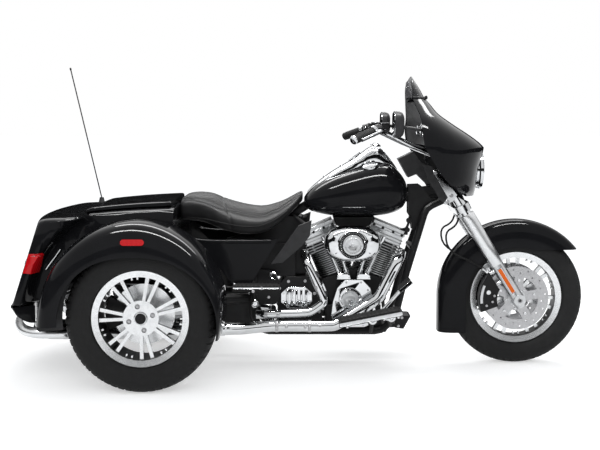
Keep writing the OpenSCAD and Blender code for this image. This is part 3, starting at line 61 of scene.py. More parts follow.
MM = 0.001
FORWARD = Vector((1, 0, 0))
UP = Vector((0, 0, 1))
RIGHT = Vector((0, -1, 0))
SIDES = ((-1, "right"), (1, "left"))
REAR_AXLE = Vector((-675, 0, 322))
FRONT_AXLE = Vector((1017, 0, 318))
WHEEL_Y = 550
CRANK = Vector((245, 0, 250))
FORK_LEAN = 32
HEAD_LEAN = 26
CYLINDER_LEAN = 22.5
FORK_DIR = slanted(FORK_LEAN) @ UP
FORK_OUT = slanted(FORK_LEAN) @ FORWARD
STEER_DIR = slanted(HEAD_LEAN) @ UP
STEER_FOOT = Vector((1117, 0, 0))
LOWER_CLAMP = 814.7
FORK_Y = 118
LAMP = Vector((827, 0, 918))


def ahead(d, y, z):
    return Vector((REAR_AXLE.x + d, y, z))


def rear_wheel(side):
    return REAR_AXLE + Vector((0, side * WHEEL_Y, 0))


def on_fork(s, y=0):
    return FRONT_AXLE + FORK_DIR * s + Vector((0, y, 0))


def on_steer(s):
    return STEER_FOOT + STEER_DIR * s


def spoke(angle):
    """The direction at an angle, in degrees, in the plane across the axles."""
    t = math.radians(angle)
    return Vector((math.cos(t), 0, math.sin(t)))


def on_cylinder(side, x, z):
    return CRANK + slanted(-side * CYLINDER_LEAN) @ Vector((x, 0, z))


# Mesh building


def finish_mesh(me, angle):
    me.polygons.foreach_set("use_smooth", [True] * len(me.polygons))
    me.set_sharp_from_angle(angle=math.radians(angle))
    me.update()


def edited(me, change, angle):
    """Runs a change over a mesh's bmesh, and shades the result."""
    bm = bmesh.new()
    bm.from_mesh(me)
    change(bm)
    bm.to_mesh(me)
    bm.free()
    finish_mesh(me, angle)


def turn_outward(bm):
    bmesh.ops.recalc_face_normals(bm, faces=bm.faces)


def weld(bm):
    bmesh.ops.remove_doubles(bm, verts=bm.verts, dist=1e-6)


def place(obj, body, material):
    scene.collection.objects.link(obj)
    obj.data.materials.clear()
    obj.data.materials.append(material)
    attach(obj, body)
    return obj


def catmull(path, k):
    """A smooth path through the given points, k steps for each of its own."""
    p = [Vector(q) for q in path]
    out = []
    for i in range(len(p) - 1):
        a, b, c, d = p[max(i - 1, 0)], p[i], p[i + 1], p[min(i + 2, len(p) - 1)]
        for j in range(k):
            t = j / k
            out.append(0.5 * (2 * b + (c - a) * t + (2 * a - 5 * b + 4 * c - d) * t * t
                              + (3 * b - a - 3 * c + d) * t * t * t))
    out.append(p[-1])
    return out


def axes_about(axis):
    w = Vector(axis).normalized()
    side = UP if abs(w.z) < 0.9 else FORWARD
    u = side.cross(w).normalized()
    return u, w.cross(u), w


def circle(at, u, v, r, n):
    """n points round a place, in the plane of the axes u and v."""
    angles = [2 * math.pi * j / n for j in range(n)]
    return [at + (u * math.cos(t) + v * math.sin(t)) * r for t in angles]


class Build:
    """Gathers solids made of points and faces, in millimetres, into one object."""

    def __init__(self):
        self.points = []
        self.faces = []

    def add(self, points, faces):
        n = len(self.points)
        self.points.extend(Vector(p) for p in points)
        self.faces.extend([n + i for i in f] for f in faces)
        return self

    def rings(self, rings, close=True, caps=True):
        """A surface through rings of the same number of points."""
        n = len(rings[0])
        points = [p for r in rings for p in r]
        last = n if close else n - 1
        faces = []
        for i in range(len(rings) - 1):
            for j in range(last):
                k = (j + 1) % n
                faces.append([i * n + j, i * n + k, (i + 1) * n + k, (i + 1) * n + j])
        if caps:
            faces.append(list(range(n - 1, -1, -1)))
            faces.append([(len(rings) - 1) * n + j for j in range(n)])
        return self.add(points, faces)

    def lathe(self, profile, at, axis, n=32, caps=True):
        """A turned form: profile is radius and height along the axis from the point at."""
        u, v, w = axes_about(axis)
        at = Vector(at)
        self.rings([circle(at + w * h, u, v, r, n) for r, h in profile], caps=caps)

    def tube(self, path, radius, n=12):
        """A round tube along a path, with no twist. radius is one size or one for each point."""
        path = [Vector(p) for p in path]
        last = len(path) - 1
        tangents = [(path[min(i + 1, last)] - path[max(i - 1, 0)]).normalized() for i in range(last + 1)]
        u, v, w = axes_about(tangents[0])
        rings = []
        for i, p in enumerate(path):
            turn = w.rotation_difference(tangents[i])
            u = turn @ u
            w = tangents[i]
            v = w.cross(u)
            r = radius[i] if isinstance(radius, (list, tuple)) else radius
            rings.append(circle(p, u, v, r, n))
        return self.rings(rings)

    def plate(self, outline, y0, y1, edge=1.5):
        """A plate between two Y positions from an XZ outline, with eased edges."""
        full = [Vector((p[0], 0, p[1])) for p in outline]
        n = len(full)
        middle = sum(full, Vector()) / n
        inner = []
        for i, p in enumerate(full):
            a = (p - full[i - 1]).normalized()
            b = (full[(i + 1) % n] - p).normalized()
            out = Vector((a.z + b.z, 0, -a.x - b.x)).normalized()
            if out.dot(p - middle) < 0 and n < 7:
                out = -out
            inner.append(p - out * edge)
        steps = ((inner, y0), (full, y0 + edge), (full, y1 - edge), (inner, y1))
        self.rings([[p - RIGHT * y for p in loop] for loop, y in steps])

    def block(self, middle, half, turn=None, edge=1.5):
        """A box with eased edges, by its middle and half sizes, turned by a matrix."""
        m = turn or Matrix.Identity(3)
        a, b, c = half
        e = min(edge, a * 0.9, b * 0.9, c * 0.9)
        rings = []
        for z, k in ((-c, e), (-c + e, 0), (c - e, 0), (c, e)):
            ring = []
            for sx, sy in ((-1, -1), (1, -1), (1, 1), (-1, 1)):
                corner = [(sx * (a - k), sy * (b - k - e)), (sx * (a - k - e), sy * (b - k))]
                if sx * sy > 0:
                    corner.reverse()
                ring.extend(corner)
            rings.append([Vector(middle) + m @ Vector((x, y, z)) for x, y in ring])
        self.rings(rings)

    def bolt(self, at, axis, r, h):
        """A hexagon head on a washer."""
        self.lathe([(r * 1.35, 0), (r * 1.35, h * 0.18), (r * 1.2, h * 0.26)], at, axis, 18)
        self.lathe([(r, h * 0.2), (r, h * 0.82), (r * 0.86, h)], at, axis, 6)

    def button(self, at, axis, r, h):
        """A round socket head with its recess."""
        self.lathe([(r, 0), (r, h * 0.7), (r * 0.86, h), (r * 0.5, h), (r * 0.46, h * 0.45)], at, axis, 20)

    def mirrored(self):
        """Adds the same forms on the other side."""
        points = [Vector((p.x, -p.y, p.z)) for p in self.points]
        return self.add(points, [list(reversed(f)) for f in self.faces])

    def make(self, name, material, body="chassis", angle=35, slot=None):
        """The object, in the given material. The slot argument is not used."""
        me = bpy.data.meshes.new(name)
        me.from_pydata([p * MM for p in self.points], [], self.faces)
        edited(me, turn_outward, angle)
        return place(bpy.data.objects.new(name, me), body, material)


# Materials


def links_for(name):
    m = bpy.data.materials.new(name)
    m.use_nodes = True
    tree = m.node_tree
    return m, tree, tree.nodes["Principled BSDF"], tree.nodes["Material Output"]


def new(tree, kind, **values):
    """A node with its sockets and settings given by name."""
    n = tree.nodes.new(kind)
    for k, v in values.items():
        if k in n.inputs:
            n.inputs[k].default_value = v
        else:
            setattr(n, k, v)
    return n


def noise(tree, scale, detail=4.0):
    """Noise over the object's own coordinates."""
    coords = new(tree, "ShaderNodeTexCoord")
    tex = new(tree, "ShaderNodeTexNoise", Scale=scale, Detail=detail, Roughness=0.55)
    tree.links.new(coords.outputs["Object"], tex.inputs["Vector"])
    return tex


def ramp(tree, source, low, high, a, b):
    """Maps a value from low..high to the colours or numbers a..b."""
    r = new(tree, "ShaderNodeValToRGB")
    r.color_ramp.elements[0].position = low
    r.color_ramp.elements[1].position = high
    for e, c in zip(r.color_ramp.elements, (a, b)):
        e.color = c if isinstance(c, tuple) else (c, c, c, 1)
    tree.links.new(source, r.inputs["Fac"])
    return r.outputs["Color"]


# The part of a noise's range over which a colour or number drifts, and the depth of a fine relief in metres
DRIFT = (0.3, 0.7)
FINE = 0.0004


def drift_between(tree, source, low, high, socket):
    """Lets a socket drift between two colours or numbers with a noise."""
    tree.links.new(ramp(tree, source.outputs["Fac"], *DRIFT, low, high), socket)


def bump(tree, bsdf, height, strength, distance):
    b = new(tree, "ShaderNodeBump", Strength=strength, Distance=distance)
    tree.links.new(height, b.inputs["Height"])
    tree.links.new(b.outputs["Normal"], bsdf.inputs["Normal"])


def plain(name, low, high, rough, metal=0.0, grain=60.0, relief=0.0, relief_scale=900.0, **sockets):
    """A surface whose colour and roughness drift a little, with a fine relief."""
    m, tree, bsdf, _ = links_for(name)
    drift = noise(tree, grain)
    drift_between(tree, drift, (*low, 1), (*high, 1), bsdf.inputs["Base Color"])
    drift_between(tree, drift, *rough, bsdf.inputs["Roughness"])
    bsdf.inputs["Metallic"].default_value = metal
    for k, v in sockets.items():
        bsdf.inputs[k.replace("_", " ")].default_value = v
    if relief:
        fine = noise(tree, relief_scale, detail=3.0)
        bump(tree, bsdf, fine.outputs["Fac"], relief, FINE)
    return m


PAINT = plain("gloss_black_paint", (0.0075, 0.0076, 0.0086), (0.0095, 0.0096, 0.0108), (0.07, 0.1), grain=9.0,
              relief=0.006, relief_scale=420.0, Specular_IOR_Level=0.08)
SATIN = plain("satin_black_coat", (0.007, 0.007, 0.0074), (0.011, 0.011, 0.0116), (0.34, 0.5), grain=35.0,
              relief=0.2, Specular_IOR_Level=0.2)
PLASTIC = plain("moulded_black_plastic", (0.02, 0.02, 0.021), (0.03, 0.03, 0.0315), (0.42, 0.56), grain=45.0,
                relief=0.5, relief_scale=1400.0, Specular_IOR_Level=0.25)
CHROME = plain("polished_chrome", (0.56, 0.57, 0.58), (0.64, 0.65, 0.66), (0.03, 0.09), metal=1.0, grain=14.0)
ALLOY = plain("cast_alloy", (0.52, 0.53, 0.54), (0.62, 0.63, 0.64), (0.24, 0.36), metal=1.0, grain=40.0,
              relief=0.25, relief_scale=1100.0)
STEEL = plain("brushed_steel", (0.4, 0.4, 0.41), (0.52, 0.52, 0.53), (0.26, 0.4), metal=1.0, grain=120.0,
              relief=0.3, relief_scale=700.0)
BRIGHT = plain("satin_chrome", (0.66, 0.67, 0.68), (0.74, 0.75, 0.76), (0.26, 0.34), metal=1.0, grain=14.0)
RUBBER = plain("black_rubber", (0.009, 0.009, 0.009), (0.015, 0.015, 0.015), (0.62, 0.78), grain=50.0,
               relief=0.45, relief_scale=1300.0, Specular_IOR_Level=0.18)


def maths(tree, operation, *values, kind="ShaderNodeMath", output="Value"):
    """The result of a math node over sockets and constants."""
    n = new(tree, kind, operation=operation)
    for socket, value in zip(n.inputs, values):
        if isinstance(value, bpy.types.NodeSocket):
            tree.links.new(value, socket)
        else:
            socket.default_value = value
    return n.outputs[output]


VECTOR = "ShaderNodeVectorMath"


def axis_distance(tree, at, axis):
    """Distance from an axis through a point, and place along it, in metres, from the object's coordinates."""
    here = new(tree, "ShaderNodeTexCoord").outputs["Object"]
    away = maths(tree, "SUBTRACT", here, at, kind=VECTOR, output="Vector")
    along = maths(tree, "DOT_PRODUCT", away, axis, kind=VECTOR)
    square = maths(tree, "DOT_PRODUCT", away, away, kind=VECTOR)
    rest = maths(tree, "SUBTRACT", square, maths(tree, "MULTIPLY", along, along))
    return maths(tree, "SQRT", rest), along


# Where a mix node keeps its colour sockets, which share their names with its number sockets
MIX_A = 6
MIX_B = 7
MIX_RESULT = 2


def two_finishes(name, mask_of, first, second, metal, rough, relief=0.2):
    """Two colours, metal values and roughnesses chosen by a mask over the object's place."""
    m, tree, bsdf, _ = links_for(name)
    mask = mask_of(tree)
    drift = noise(tree, 50.0)
    mix = new(tree, "ShaderNodeMix", data_type="RGBA")
    tree.links.new(mask, mix.inputs["Factor"])
    for (low, high), socket in ((first, MIX_A), (second, MIX_B)):
        drift_between(tree, drift, (*low, 1), (*high, 1), mix.inputs[socket])
    tree.links.new(mix.outputs[MIX_RESULT], bsdf.inputs["Base Color"])
    tree.links.new(ramp(tree, mask, 0.0, 1.0, *metal), bsdf.inputs["Metallic"])
    tree.links.new(ramp(tree, mask, 0.0, 1.0, *rough), bsdf.inputs["Roughness"])
    fine = noise(tree, 1000.0, detail=3.0)
    bump(tree, bsdf, fine.outputs["Fac"], relief, FINE)
    return m


def wheel_alloy_and_barrel_shade(name, at, barrel_r, lip):
    """Satin alloy, with the barrel inside the rim, behind its bright lip, painted black as painted shade of
    the rim's hollow.
    """

    def mask(tree):
        r, along = axis_distance(tree, at, (0, 1, 0))
        inside = maths(tree, "LESS_THAN", maths(tree, "ABSOLUTE", along), lip)
        return maths(tree, "MULTIPLY", maths(tree, "GREATER_THAN", r, barrel_r), inside)

    bright = ((0.66, 0.67, 0.68), (0.75, 0.76, 0.77))
    # Painted shade: the barrel's hollow behind the lip is coloured near-black instead of alloy
    black = ((0.006, 0.006, 0.006), (0.01, 0.01, 0.01))
    return two_finishes(name, mask, bright, black, (1.0, 0.0), (0.27, 0.4))


# How far from the cylinder's axis a fin's edge begins, and how far up the fins begin, in metres
FIN_EDGE_R = 0.0832
FIN_FOOT = 0.2


def fin_finish(name):
    """Black barrels with machined fin edges."""

    def mask(tree):
        found = []
        for side in (-1, 1):
            r, along = axis_distance(tree, CRANK * MM, slanted(-side * CYLINDER_LEAN) @ UP)
            out = maths(tree, "GREATER_THAN", r, FIN_EDGE_R)
            edge = maths(tree, "MULTIPLY", out, maths(tree, "GREATER_THAN", along, FIN_FOOT))
            parts = new(tree, "ShaderNodeSeparateXYZ")
            coords = new(tree, "ShaderNodeTexCoord")
            tree.links.new(coords.outputs["Object"], parts.inputs["Vector"])
            own_side = "GREATER_THAN" if side > 0 else "LESS_THAN"
            half = maths(tree, own_side, parts.outputs["X"], CRANK.x * MM)
            found.append(maths(tree, "MULTIPLY", edge, half))
        return maths(tree, "MAXIMUM", *found)

    black = ((0.008, 0.008, 0.008), (0.016, 0.016, 0.016))
    machined = ((0.3, 0.305, 0.31), (0.38, 0.385, 0.39))
    return two_finishes(name, mask, black, machined, (0.0, 1.0), (0.45, 0.36), 0.3)


FRONT_WHEEL = wheel_alloy_and_barrel_shade("front_wheel_alloy", FRONT_AXLE * MM, barrel_r=0.1865, lip=0.044)
REAR_WHEELS = {s: wheel_alloy_and_barrel_shade("rear_wheel_alloy_" + n, rear_wheel(s) * MM, barrel_r=0.1765, lip=0.076)
               for s, n in SIDES}
FINS = fin_finish("finned_barrels")


def clamp_finish(name, limit):
    """Chrome on the lower clamp and black on the upper: limit is a height up the steering axis in metres."""

    def mask(tree):
        _, along = axis_distance(tree, STEER_FOOT * MM, STEER_DIR)
        return maths(tree, "GREATER_THAN", along, limit)

    bright = ((0.56, 0.57, 0.58), (0.64, 0.65, 0.66))
    black = ((0.01, 0.01, 0.01), (0.018, 0.018, 0.018))
    return two_finishes(name, mask, bright, black, (1.0, 0.0), (0.12, 0.42), 0.05)


CLAMPS = clamp_finish("fork_clamps", limit=0.88)


def tyre_rubber(name, at, rings):
    """Dull rubber with moulded rings on the sidewall, as distances from the axle in metres."""
    m, tree, bsdf, _ = links_for(name)
    drift = noise(tree, 40.0)
    low = (0.01, 0.01, 0.0102, 1)
    high = (0.016, 0.016, 0.0163, 1)
    drift_between(tree, drift, low, high, bsdf.inputs["Base Color"])
    drift_between(tree, drift, 0.6, 0.74, bsdf.inputs["Roughness"])
    bsdf.inputs["Specular IOR Level"].default_value = 0.2
    r, _ = axis_distance(tree, at, (0, 1, 0))
    height = maths(tree, "SINE", maths(tree, "MULTIPLY", r, rings))
    fine = noise(tree, 900.0, detail=2.0)
    mixed = maths(tree, "ADD", height, fine.outputs["Fac"])
    bump(tree, bsdf, mixed, 0.16, 0.0006)
    return m


def leather():
    m, tree, bsdf, _ = links_for("black_leather")
    drift = noise(tree, 16.0)
    low = (0.009, 0.009, 0.0093, 1)
    high = (0.015, 0.015, 0.0155, 1)
    drift_between(tree, drift, low, high, bsdf.inputs["Base Color"])
    drift_between(tree, drift, 0.36, 0.48, bsdf.inputs["Roughness"])
    coords = new(tree, "ShaderNodeTexCoord")
    cells = new(tree, "ShaderNodeTexVoronoi", feature="DISTANCE_TO_EDGE", Scale=420.0)
    tree.links.new(coords.outputs["Object"], cells.inputs["Vector"])
    wrinkle = noise(tree, 60.0, detail=6.0)
    grain = ramp(tree, cells.outputs["Distance"], 0.0, 0.12, 0.0, 1.0)
    mixed = maths(tree, "ADD", grain, wrinkle.outputs["Fac"])
    bump(tree, bsdf, mixed, 0.22, 0.0006)
    bsdf.inputs["Specular IOR Level"].default_value = 0.13
    return m


def lens(name, low, high, ribs, transmission, rough=0.08, **sockets):
    """A moulded lens with fine vertical ribs."""
    m, tree, bsdf, _ = links_for(name)
    coords = new(tree, "ShaderNodeTexCoord")
    wave = new(tree, "ShaderNodeTexWave", Scale=ribs, Distortion=0.0)
    tree.links.new(coords.outputs["Object"], wave.inputs["Vector"])
    colour = ramp(tree, wave.outputs["Fac"], 0.2, 0.8, (*low, 1), (*high, 1))
    tree.links.new(colour, bsdf.inputs["Base Color"])
    bsdf.inputs["Roughness"].default_value = rough
    bsdf.inputs["Transmission Weight"].default_value = transmission
    for k, v in sockets.items():
        bsdf.inputs[k.replace("_", " ")].default_value = v
    bump(tree, bsdf, wave.outputs["Fac"], 0.25, 0.0006)
    return m


LEATHER = leather()
THREAD = plain("grey_thread", (0.05, 0.05, 0.052), (0.09, 0.09, 0.092), (0.6, 0.8), grain=400.0)
RED = lens("red_lens", (0.42, 0.003, 0.006), (0.6, 0.008, 0.012), 60.0, 0.0, Specular_IOR_Level=0.25)
AMBER = lens("amber_reflector", (0.68, 0.11, 0.0), (0.84, 0.16, 0.003), 110.0, 0.0, Specular_IOR_Level=0.25)
CLEAR = lens("clear_lens", (0.84, 0.87, 0.9), (0.9, 0.92, 0.95), 30.0, 1.0, 0.02, IOR=1.45)
SMOKE = lens("smoked_screen", (0.07, 0.07, 0.075), (0.085, 0.085, 0.09), 2.0, 0.9, 0.04, IOR=1.3)

SLOT_MATERIAL = {
    "black_paint": PAINT, "satin_black": SATIN, "black_plastic": PLASTIC, "chrome": CHROME,
    "cast_alloy": ALLOY, "steel": STEEL, "tyre": RUBBER, "black_rubber": RUBBER, "black_leather": LEATHER,
    "red_lens": RED, "clear_lens": CLEAR, "smoked_screen": SMOKE,
}
FINISH_SLOT = {material.name: slot for slot, material in SLOT_MATERIAL.items()}
FINISH_SLOT.update({BRIGHT.name: "chrome", THREAD.name: "black_leather", AMBER.name: "red_lens"})
NODE_MATERIAL = {
    "cylinders": FINS, "front_wheel": FRONT_WHEEL, "rear_wheel_right": REAR_WHEELS[-1],
    "rear_wheel_left": REAR_WHEELS[1], "triple_clamps": CLAMPS, "rear_bumper": BRIGHT,
}

# Smooth copies of the lofted panels and eased copies of the machined pieces


def welded(node):
    bm = bmesh.new()
    bm.from_mesh(nodes[node].data)
    bmesh.ops.remove_doubles(bm, verts=bm.verts, dist=2e-5)
    return bm


def stand_in(node, bm, angle, name=None):
    me = bpy.data.meshes.new(name or node + "_skin")
    bm.to_mesh(me)
    bm.free()
    finish_mesh(me, angle)
    obj = bpy.data.objects.new(name or node + "_skin", me)
    place(obj, body_of[node], NODE_MATERIAL.get(node, SLOT_MATERIAL[slot_of[node]]))
    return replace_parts(obj, node)


def subdivide(obj, levels):
    sub = obj.modifiers.new("Smooth", "SUBSURF")
    sub.levels = levels
    sub.render_levels = levels


# Edges sharper than the first angle stay hard, and triangles flatter than the second are joined
HARD_EDGE = 42
FLAT_PAIR = 38


def smooth_copy(node):
    """A subdivided skin over a faceted node, with its hard edges kept."""
    bm = welded(node)
    bmesh.ops.join_triangles(bm, faces=bm.faces, cmp_seam=False, cmp_sharp=False, cmp_uvs=False,
                             cmp_vcols=False, cmp_materials=False,
                             angle_face_threshold=math.radians(FLAT_PAIR),
                             angle_shape_threshold=math.radians(70))
    crease = bm.edges.layers.float.new("crease_edge")
    for e in bm.edges:
        if len(e.link_faces) != 2 or e.calc_face_angle(0) > math.radians(HARD_EDGE):
            e[crease] = 1.0
    subdivide(stand_in(node, bm, HARD_EDGE), 2)


def eased_copy(node, width=1.5, segments=2):
    """A copy of a machined node with its sharp edges broken."""
    bm = welded(node)
    bmesh.ops.dissolve_limit(bm, angle_limit=math.radians(0.6), verts=bm.verts, edges=bm.edges)
    obj = stand_in(node, bm, 40)
    ease = obj.modifiers.new("Ease", "BEVEL")
    ease.width = width * MM
    ease.segments = segments
    ease.limit_method = "ANGLE"
    ease.angle_limit = math.radians(32)
    ease.use_clamp_overlap = True


for node in ("fuel_tank", "tank_console", "trunk_body", "rear_fenders", "deck_cover", "trunk_door",
             "rear_valance", "rear_bumper", "fairing_outer", "fairing_inner", "windscreen", "handlebar",
             "exhaust", "mirrors", "air_cleaner", "tail_lamps"):
    smooth_copy(node)
for node in ("rocker_covers", "crankcase", "gearbox", "gearbox_cover", "cam_cover", "primary_cover",
             "foot_controls", "fairing_brackets", "footboards", "fork_sliders", "steering_cover",
             "battery_box", "regulator", "triple_clamps"):
    eased_copy(node)
for node in ("air_deflectors", "side_covers"):
    eased_copy(node, 7, 4)

for name, obj in nodes.items():
    obj.data.materials.clear()
    obj.data.materials.append(NODE_MATERIAL.get(name, SLOT_MATERIAL[slot_of[name]]))

# Tyres


# The tread: its depth and how it fades at the crown's edge in millimetres, the crown's share of the section,
# a cut's share of a block, and the plain middle rib and half a groove as shares of half the width
TREAD_DEPTH = 6.0
TREAD_FADE = 9
CROWN_SHARE = 0.42
CUT_SHARE = 0.2
PLAIN_RIB = 0.24
HALF_GROOVE = 0.045
TYRE_STEPS = 432
BEAD_DEPTH = 24


def tyre_form(name, node, body, at, outer, width, rim_r, rim_w, e, blocks, grooves, lean):
    """A tyre with tread: rings of grooves and slanted cuts over the crown, and a plain sidewall."""
    seat = rim_r - BEAD_DEPTH
    mid = (outer + seat) / 2
    half = (outer - seat) / 2
    section = []
    for i in range(-46, 47):
        a = math.radians(i * 2.5)
        r = mid + half * math.copysign(abs(math.cos(a)) ** (2 / e), math.cos(a))
        y = width / 2 * math.copysign(abs(math.sin(a)) ** (2 / e), math.sin(a))
        section.append((r, y))
    bead = rim_w / 2 - 10.3
    section = [(rim_r + 0.3, -bead), (rim_r + 0.3, -rim_w / 2 + 2)] + section
    section += [(rim_r + 0.3, rim_w / 2 - 2), (rim_r + 0.3, bead)]
    crown = outer - half * CROWN_SHARE
    rings = []
    for i in range(TYRE_STEPS):
        t = 2 * math.pi * i / TYRE_STEPS
        ring = []
        for r, y in section:
            s = abs(y) / (width / 2)
            cut = 0.0
            if r > crown:
                phase = (i / TYRE_STEPS * blocks + lean * s) % 1.0
                if phase < CUT_SHARE and s > PLAIN_RIB:
                    cut = TREAD_DEPTH * min(1.0, (r - crown) / TREAD_FADE)
                if any(abs(s - g) < HALF_GROOVE for g in grooves):
                    cut = TREAD_DEPTH
            ring.append(at + Vector(((r - cut) * math.cos(t), y, (r - cut) * math.sin(t))))
        rings.append(ring)
    rings.append(rings[0])
    build = Build().rings(rings, close=False, caps=False)
    obj = build.make(name, tyre_rubber(name + "_rubber", at * MM, rings=620.0), body, 30, "tyre")
    edited(obj.data, weld, 30)
    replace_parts(obj, node)


tyre_form("front_tyre_tread", "front_tyre", "front_wheel", FRONT_AXLE, outer=318, width=130, rim_r=218,
          rim_w=100, e=2.5, blocks=54, grooves=(0.0, 0.3), lean=1.4)
for side, name in SIDES:
    tyre_form("rear_tyre_tread_" + name, "rear_tyre_" + name, "rear_wheel_" + name, rear_wheel(side),
              outer=322, width=205, rim_r=208, rim_w=168, e=3.2, blocks=60, grooves=(0.12, 0.42), lean=0.5)

# Front fender


def front_fender():
    skirt, outer, half_w = 240, 368, 82
    wall = 3
    fullness = 0.55
    first_angle, tail_drop, front_edge = 39, 166, 228

    def section(inset):
        out = []
        for i in range(0, 73):
            a = math.radians(2.5 * i)
            r = skirt + (outer - inset - skirt) * max(math.sin(a), 0) ** fullness
            out.append((r, (half_w - inset) * math.copysign(abs(math.cos(a)) ** fullness, math.cos(a))))
        return out

    loop = section(0) + list(reversed(section(wall)))
    rings = []
    for i in range(0, 95):
        t = math.radians(first_angle + 1.5 * i)
        rings.append([FRONT_AXLE + Vector((r * math.cos(t), y, r * math.sin(t))) for r, y in loop])
    for k in range(1, 7):
        rings.append([FRONT_AXLE + Vector((-r, y, -tail_drop * k / 6)) for r, y in loop])
    build = Build().rings(rings)
    obj = build.make("front_fender_skin", PAINT, "steering", 40)
    cut = FRONT_AXLE + Vector((0, 0, front_edge))

    def trim_front(bm):
        geom = [f for f in bm.faces if f.calc_center_median().x > FRONT_AXLE.x * MM]
        edges = {e for f in geom for e in f.edges}
        verts = {v for f in geom for v in f.verts}
        found = bmesh.ops.bisect_plane(bm, geom=geom + list(edges) + list(verts), plane_co=cut * MM,
                                       plane_no=-UP, clear_outer=True)
        rim = [e for e in found["geom_cut"] if isinstance(e, bmesh.types.BMEdge)]
        bmesh.ops.holes_fill(bm, edges=rim)

    edited(obj.data, trim_front, 40)
    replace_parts(obj, "front_fender")


front_fender()

# Seat


SEAM_X = -372
SEAM_BOW = 34
GROOVE_DEPTH = 3.5
GROOVE_WIDTH = 7.0
PUFF_FRAMES = 20
PUFF_LIMIT = 0.006
STITCH_OFF = 7
LONGEST_STITCH = 14


def top_seam(x):
    """How far out the seam round the seat's top panel runs, at a place along the bike."""
    places = ((-560, 120), (-470, 148), (-380, 150), (-300, 140), (-190, 146), (-110, 118), (-50, 78),
              (0, 40))
    for (x0, y0), (x1, y1) in zip(places, places[1:]):
        if x <= x1 or x1 == 0:
            t = min(max((x - x0) / (x1 - x0), 0), 1)
            return y0 + (y1 - y0) * t * t * (3 - 2 * t)


def cross_seam(y):
    """Where the seam between the rider's and the passenger's parts runs, at a place across the bike."""
    return SEAM_X + SEAM_BOW * (y / 150) ** 2


def seam_depth(at, normal):
    """How near a point of the seat lies to a seam, from 0 to 1."""
    if normal.z < -0.3:
        return 0.0
    away = [abs(at.x - cross_seam(at.y))]
    if normal.z > 0.1:
        away.append(abs(abs(at.y) - top_seam(at.x)))
    return max(math.exp(-(d / GROOVE_WIDTH) ** 2) for d in away)


def evaluated_mesh(obj):
    graph = bpy.context.evaluated_depsgraph_get()
    return bpy.data.meshes.new_from_object(obj.evaluated_get(graph), depsgraph=graph)


def seat():
    """The saddle: its solid remeshed, drawn in along the seams and puffed out by air pressure."""
    obj = stand_in("seat", welded("seat"), 60, "saddle")
    remesh = obj.modifiers.new("Remesh", "REMESH")
    remesh.mode = "VOXEL"
    remesh.voxel_size = 0.006
    smooth = obj.modifiers.new("Even", "SMOOTH")
    smooth.factor = 0.5
    smooth.iterations = 6
    me = evaluated_mesh(obj)
    obj.modifiers.clear()
    obj.data = me
    held = obj.vertex_groups.new(name="held")
    drawn = [(v.co.copy(), v.normal.copy(), seam_depth(v.co / MM, v.normal)) for v in me.vertices]
    for v, (at, normal, seam) in zip(me.vertices, drawn):
        v.co = at - normal * seam * GROOVE_DEPTH * MM
        hold = max(seam, 1.0 if normal.z < -0.2 else 0.0)
        if hold > 0.02:
            held.add([v.index], hold, "REPLACE")
    rest = [v.co.copy() for v in me.vertices]
    cloth = obj.modifiers.new("Cloth", "CLOTH")
    cloth.settings.quality = 4
    cloth.settings.mass = 0.3
    cloth.settings.tension_stiffness = 25
    cloth.settings.compression_stiffness = 25
    cloth.settings.bending_stiffness = 4
    cloth.settings.use_pressure = True
    cloth.settings.uniform_pressure_force = 4.0
    cloth.settings.effector_weights.gravity = 0.0
    cloth.settings.vertex_group_mass = "held"
    for number in range(1, PUFF_FRAMES + 1):
        scene.frame_set(number)
    puffed = evaluated_mesh(obj)
    moved = [v.co.copy() for v in puffed.vertices]
    obj.modifiers.clear()
    scene.frame_set(1)
    for v, a, b in zip(obj.data.vertices, rest, moved):
        step = b - a
        if step.length > PUFF_LIMIT:
            step = step.normalized() * PUFF_LIMIT
        v.co = a + step
    finish_mesh(obj.data, 80)
    subdivide(obj, 1)
    return obj


def seat_thread(saddle):
    """Stitches beside the seams and a piping along the foot of the seat."""
    me = saddle.data
    tree = BVHTree.FromPolygons([v.co for v in me.vertices], [p.vertices[:] for p in me.polygons])

    def top(x, y):
        hit, normal, _, _ = tree.ray_cast(Vector((x, y, 1200)) * MM, Vector((0, 0, -1)))
        return (hit / MM, normal) if hit else (None, None)

    rows = []
    for side in (-1, 1):
        for off in (-STITCH_OFF, STITCH_OFF):
            rows.append([(x, side * (top_seam(x) + off)) for x in range(-535, -40, 4)])
    for off in (-STITCH_OFF, STITCH_OFF):
        rows.append([(cross_seam(y) + off, y) for y in range(-150, 151, 4)])
    thread = Build()
    for row in rows:
        found = [top(x, y) for x, y in row]
        for i in range(0, len(found) - 2, 3):
            (a, n0), (b, n1) = found[i], found[i + 2]
            if a is not None and b is not None and (b - a).length < LONGEST_STITCH:
                thread.tube([a + n0 * 0.1, (a + b) / 2 + n0 * 0.7, b + n1 * 0.1], 0.8, 6)
    thread.make("seat_stitches", THREAD)
    piping = Build()
    for side in (-1, 1):
        path = []
        for x in range(-520, -60, 12):
            low, _, _, _ = tree.ray_cast(Vector((x, side * 20, 400)) * MM, Vector((0, 0, 1)))
            if low is None:
                continue
            beside = Vector((x, side * 400, low.z / MM + 22))
            hit, normal, _, _ = tree.ray_cast(beside * MM, Vector((0, -side, 0)))
            if hit is not None:
                path.append(hit / MM + normal * 1.5)
        piping.tube(catmull(path, 2), 3.2, 8)
    piping.make("seat_piping", LEATHER)


seat_thread(seat())

# Fittings

trees = {}
SHOWN = [n for n in nodes if body_of[n] == "chassis"]


def tree_of(names):
    points = []
    faces = []
    for n in names:
        me = nodes[n].data
        start = len(points)
        points.extend(v.co.copy() for v in me.vertices)
        faces.extend([start + i for i in f.vertices] for f in me.polygons)
    return BVHTree.FromPolygons(points, faces)


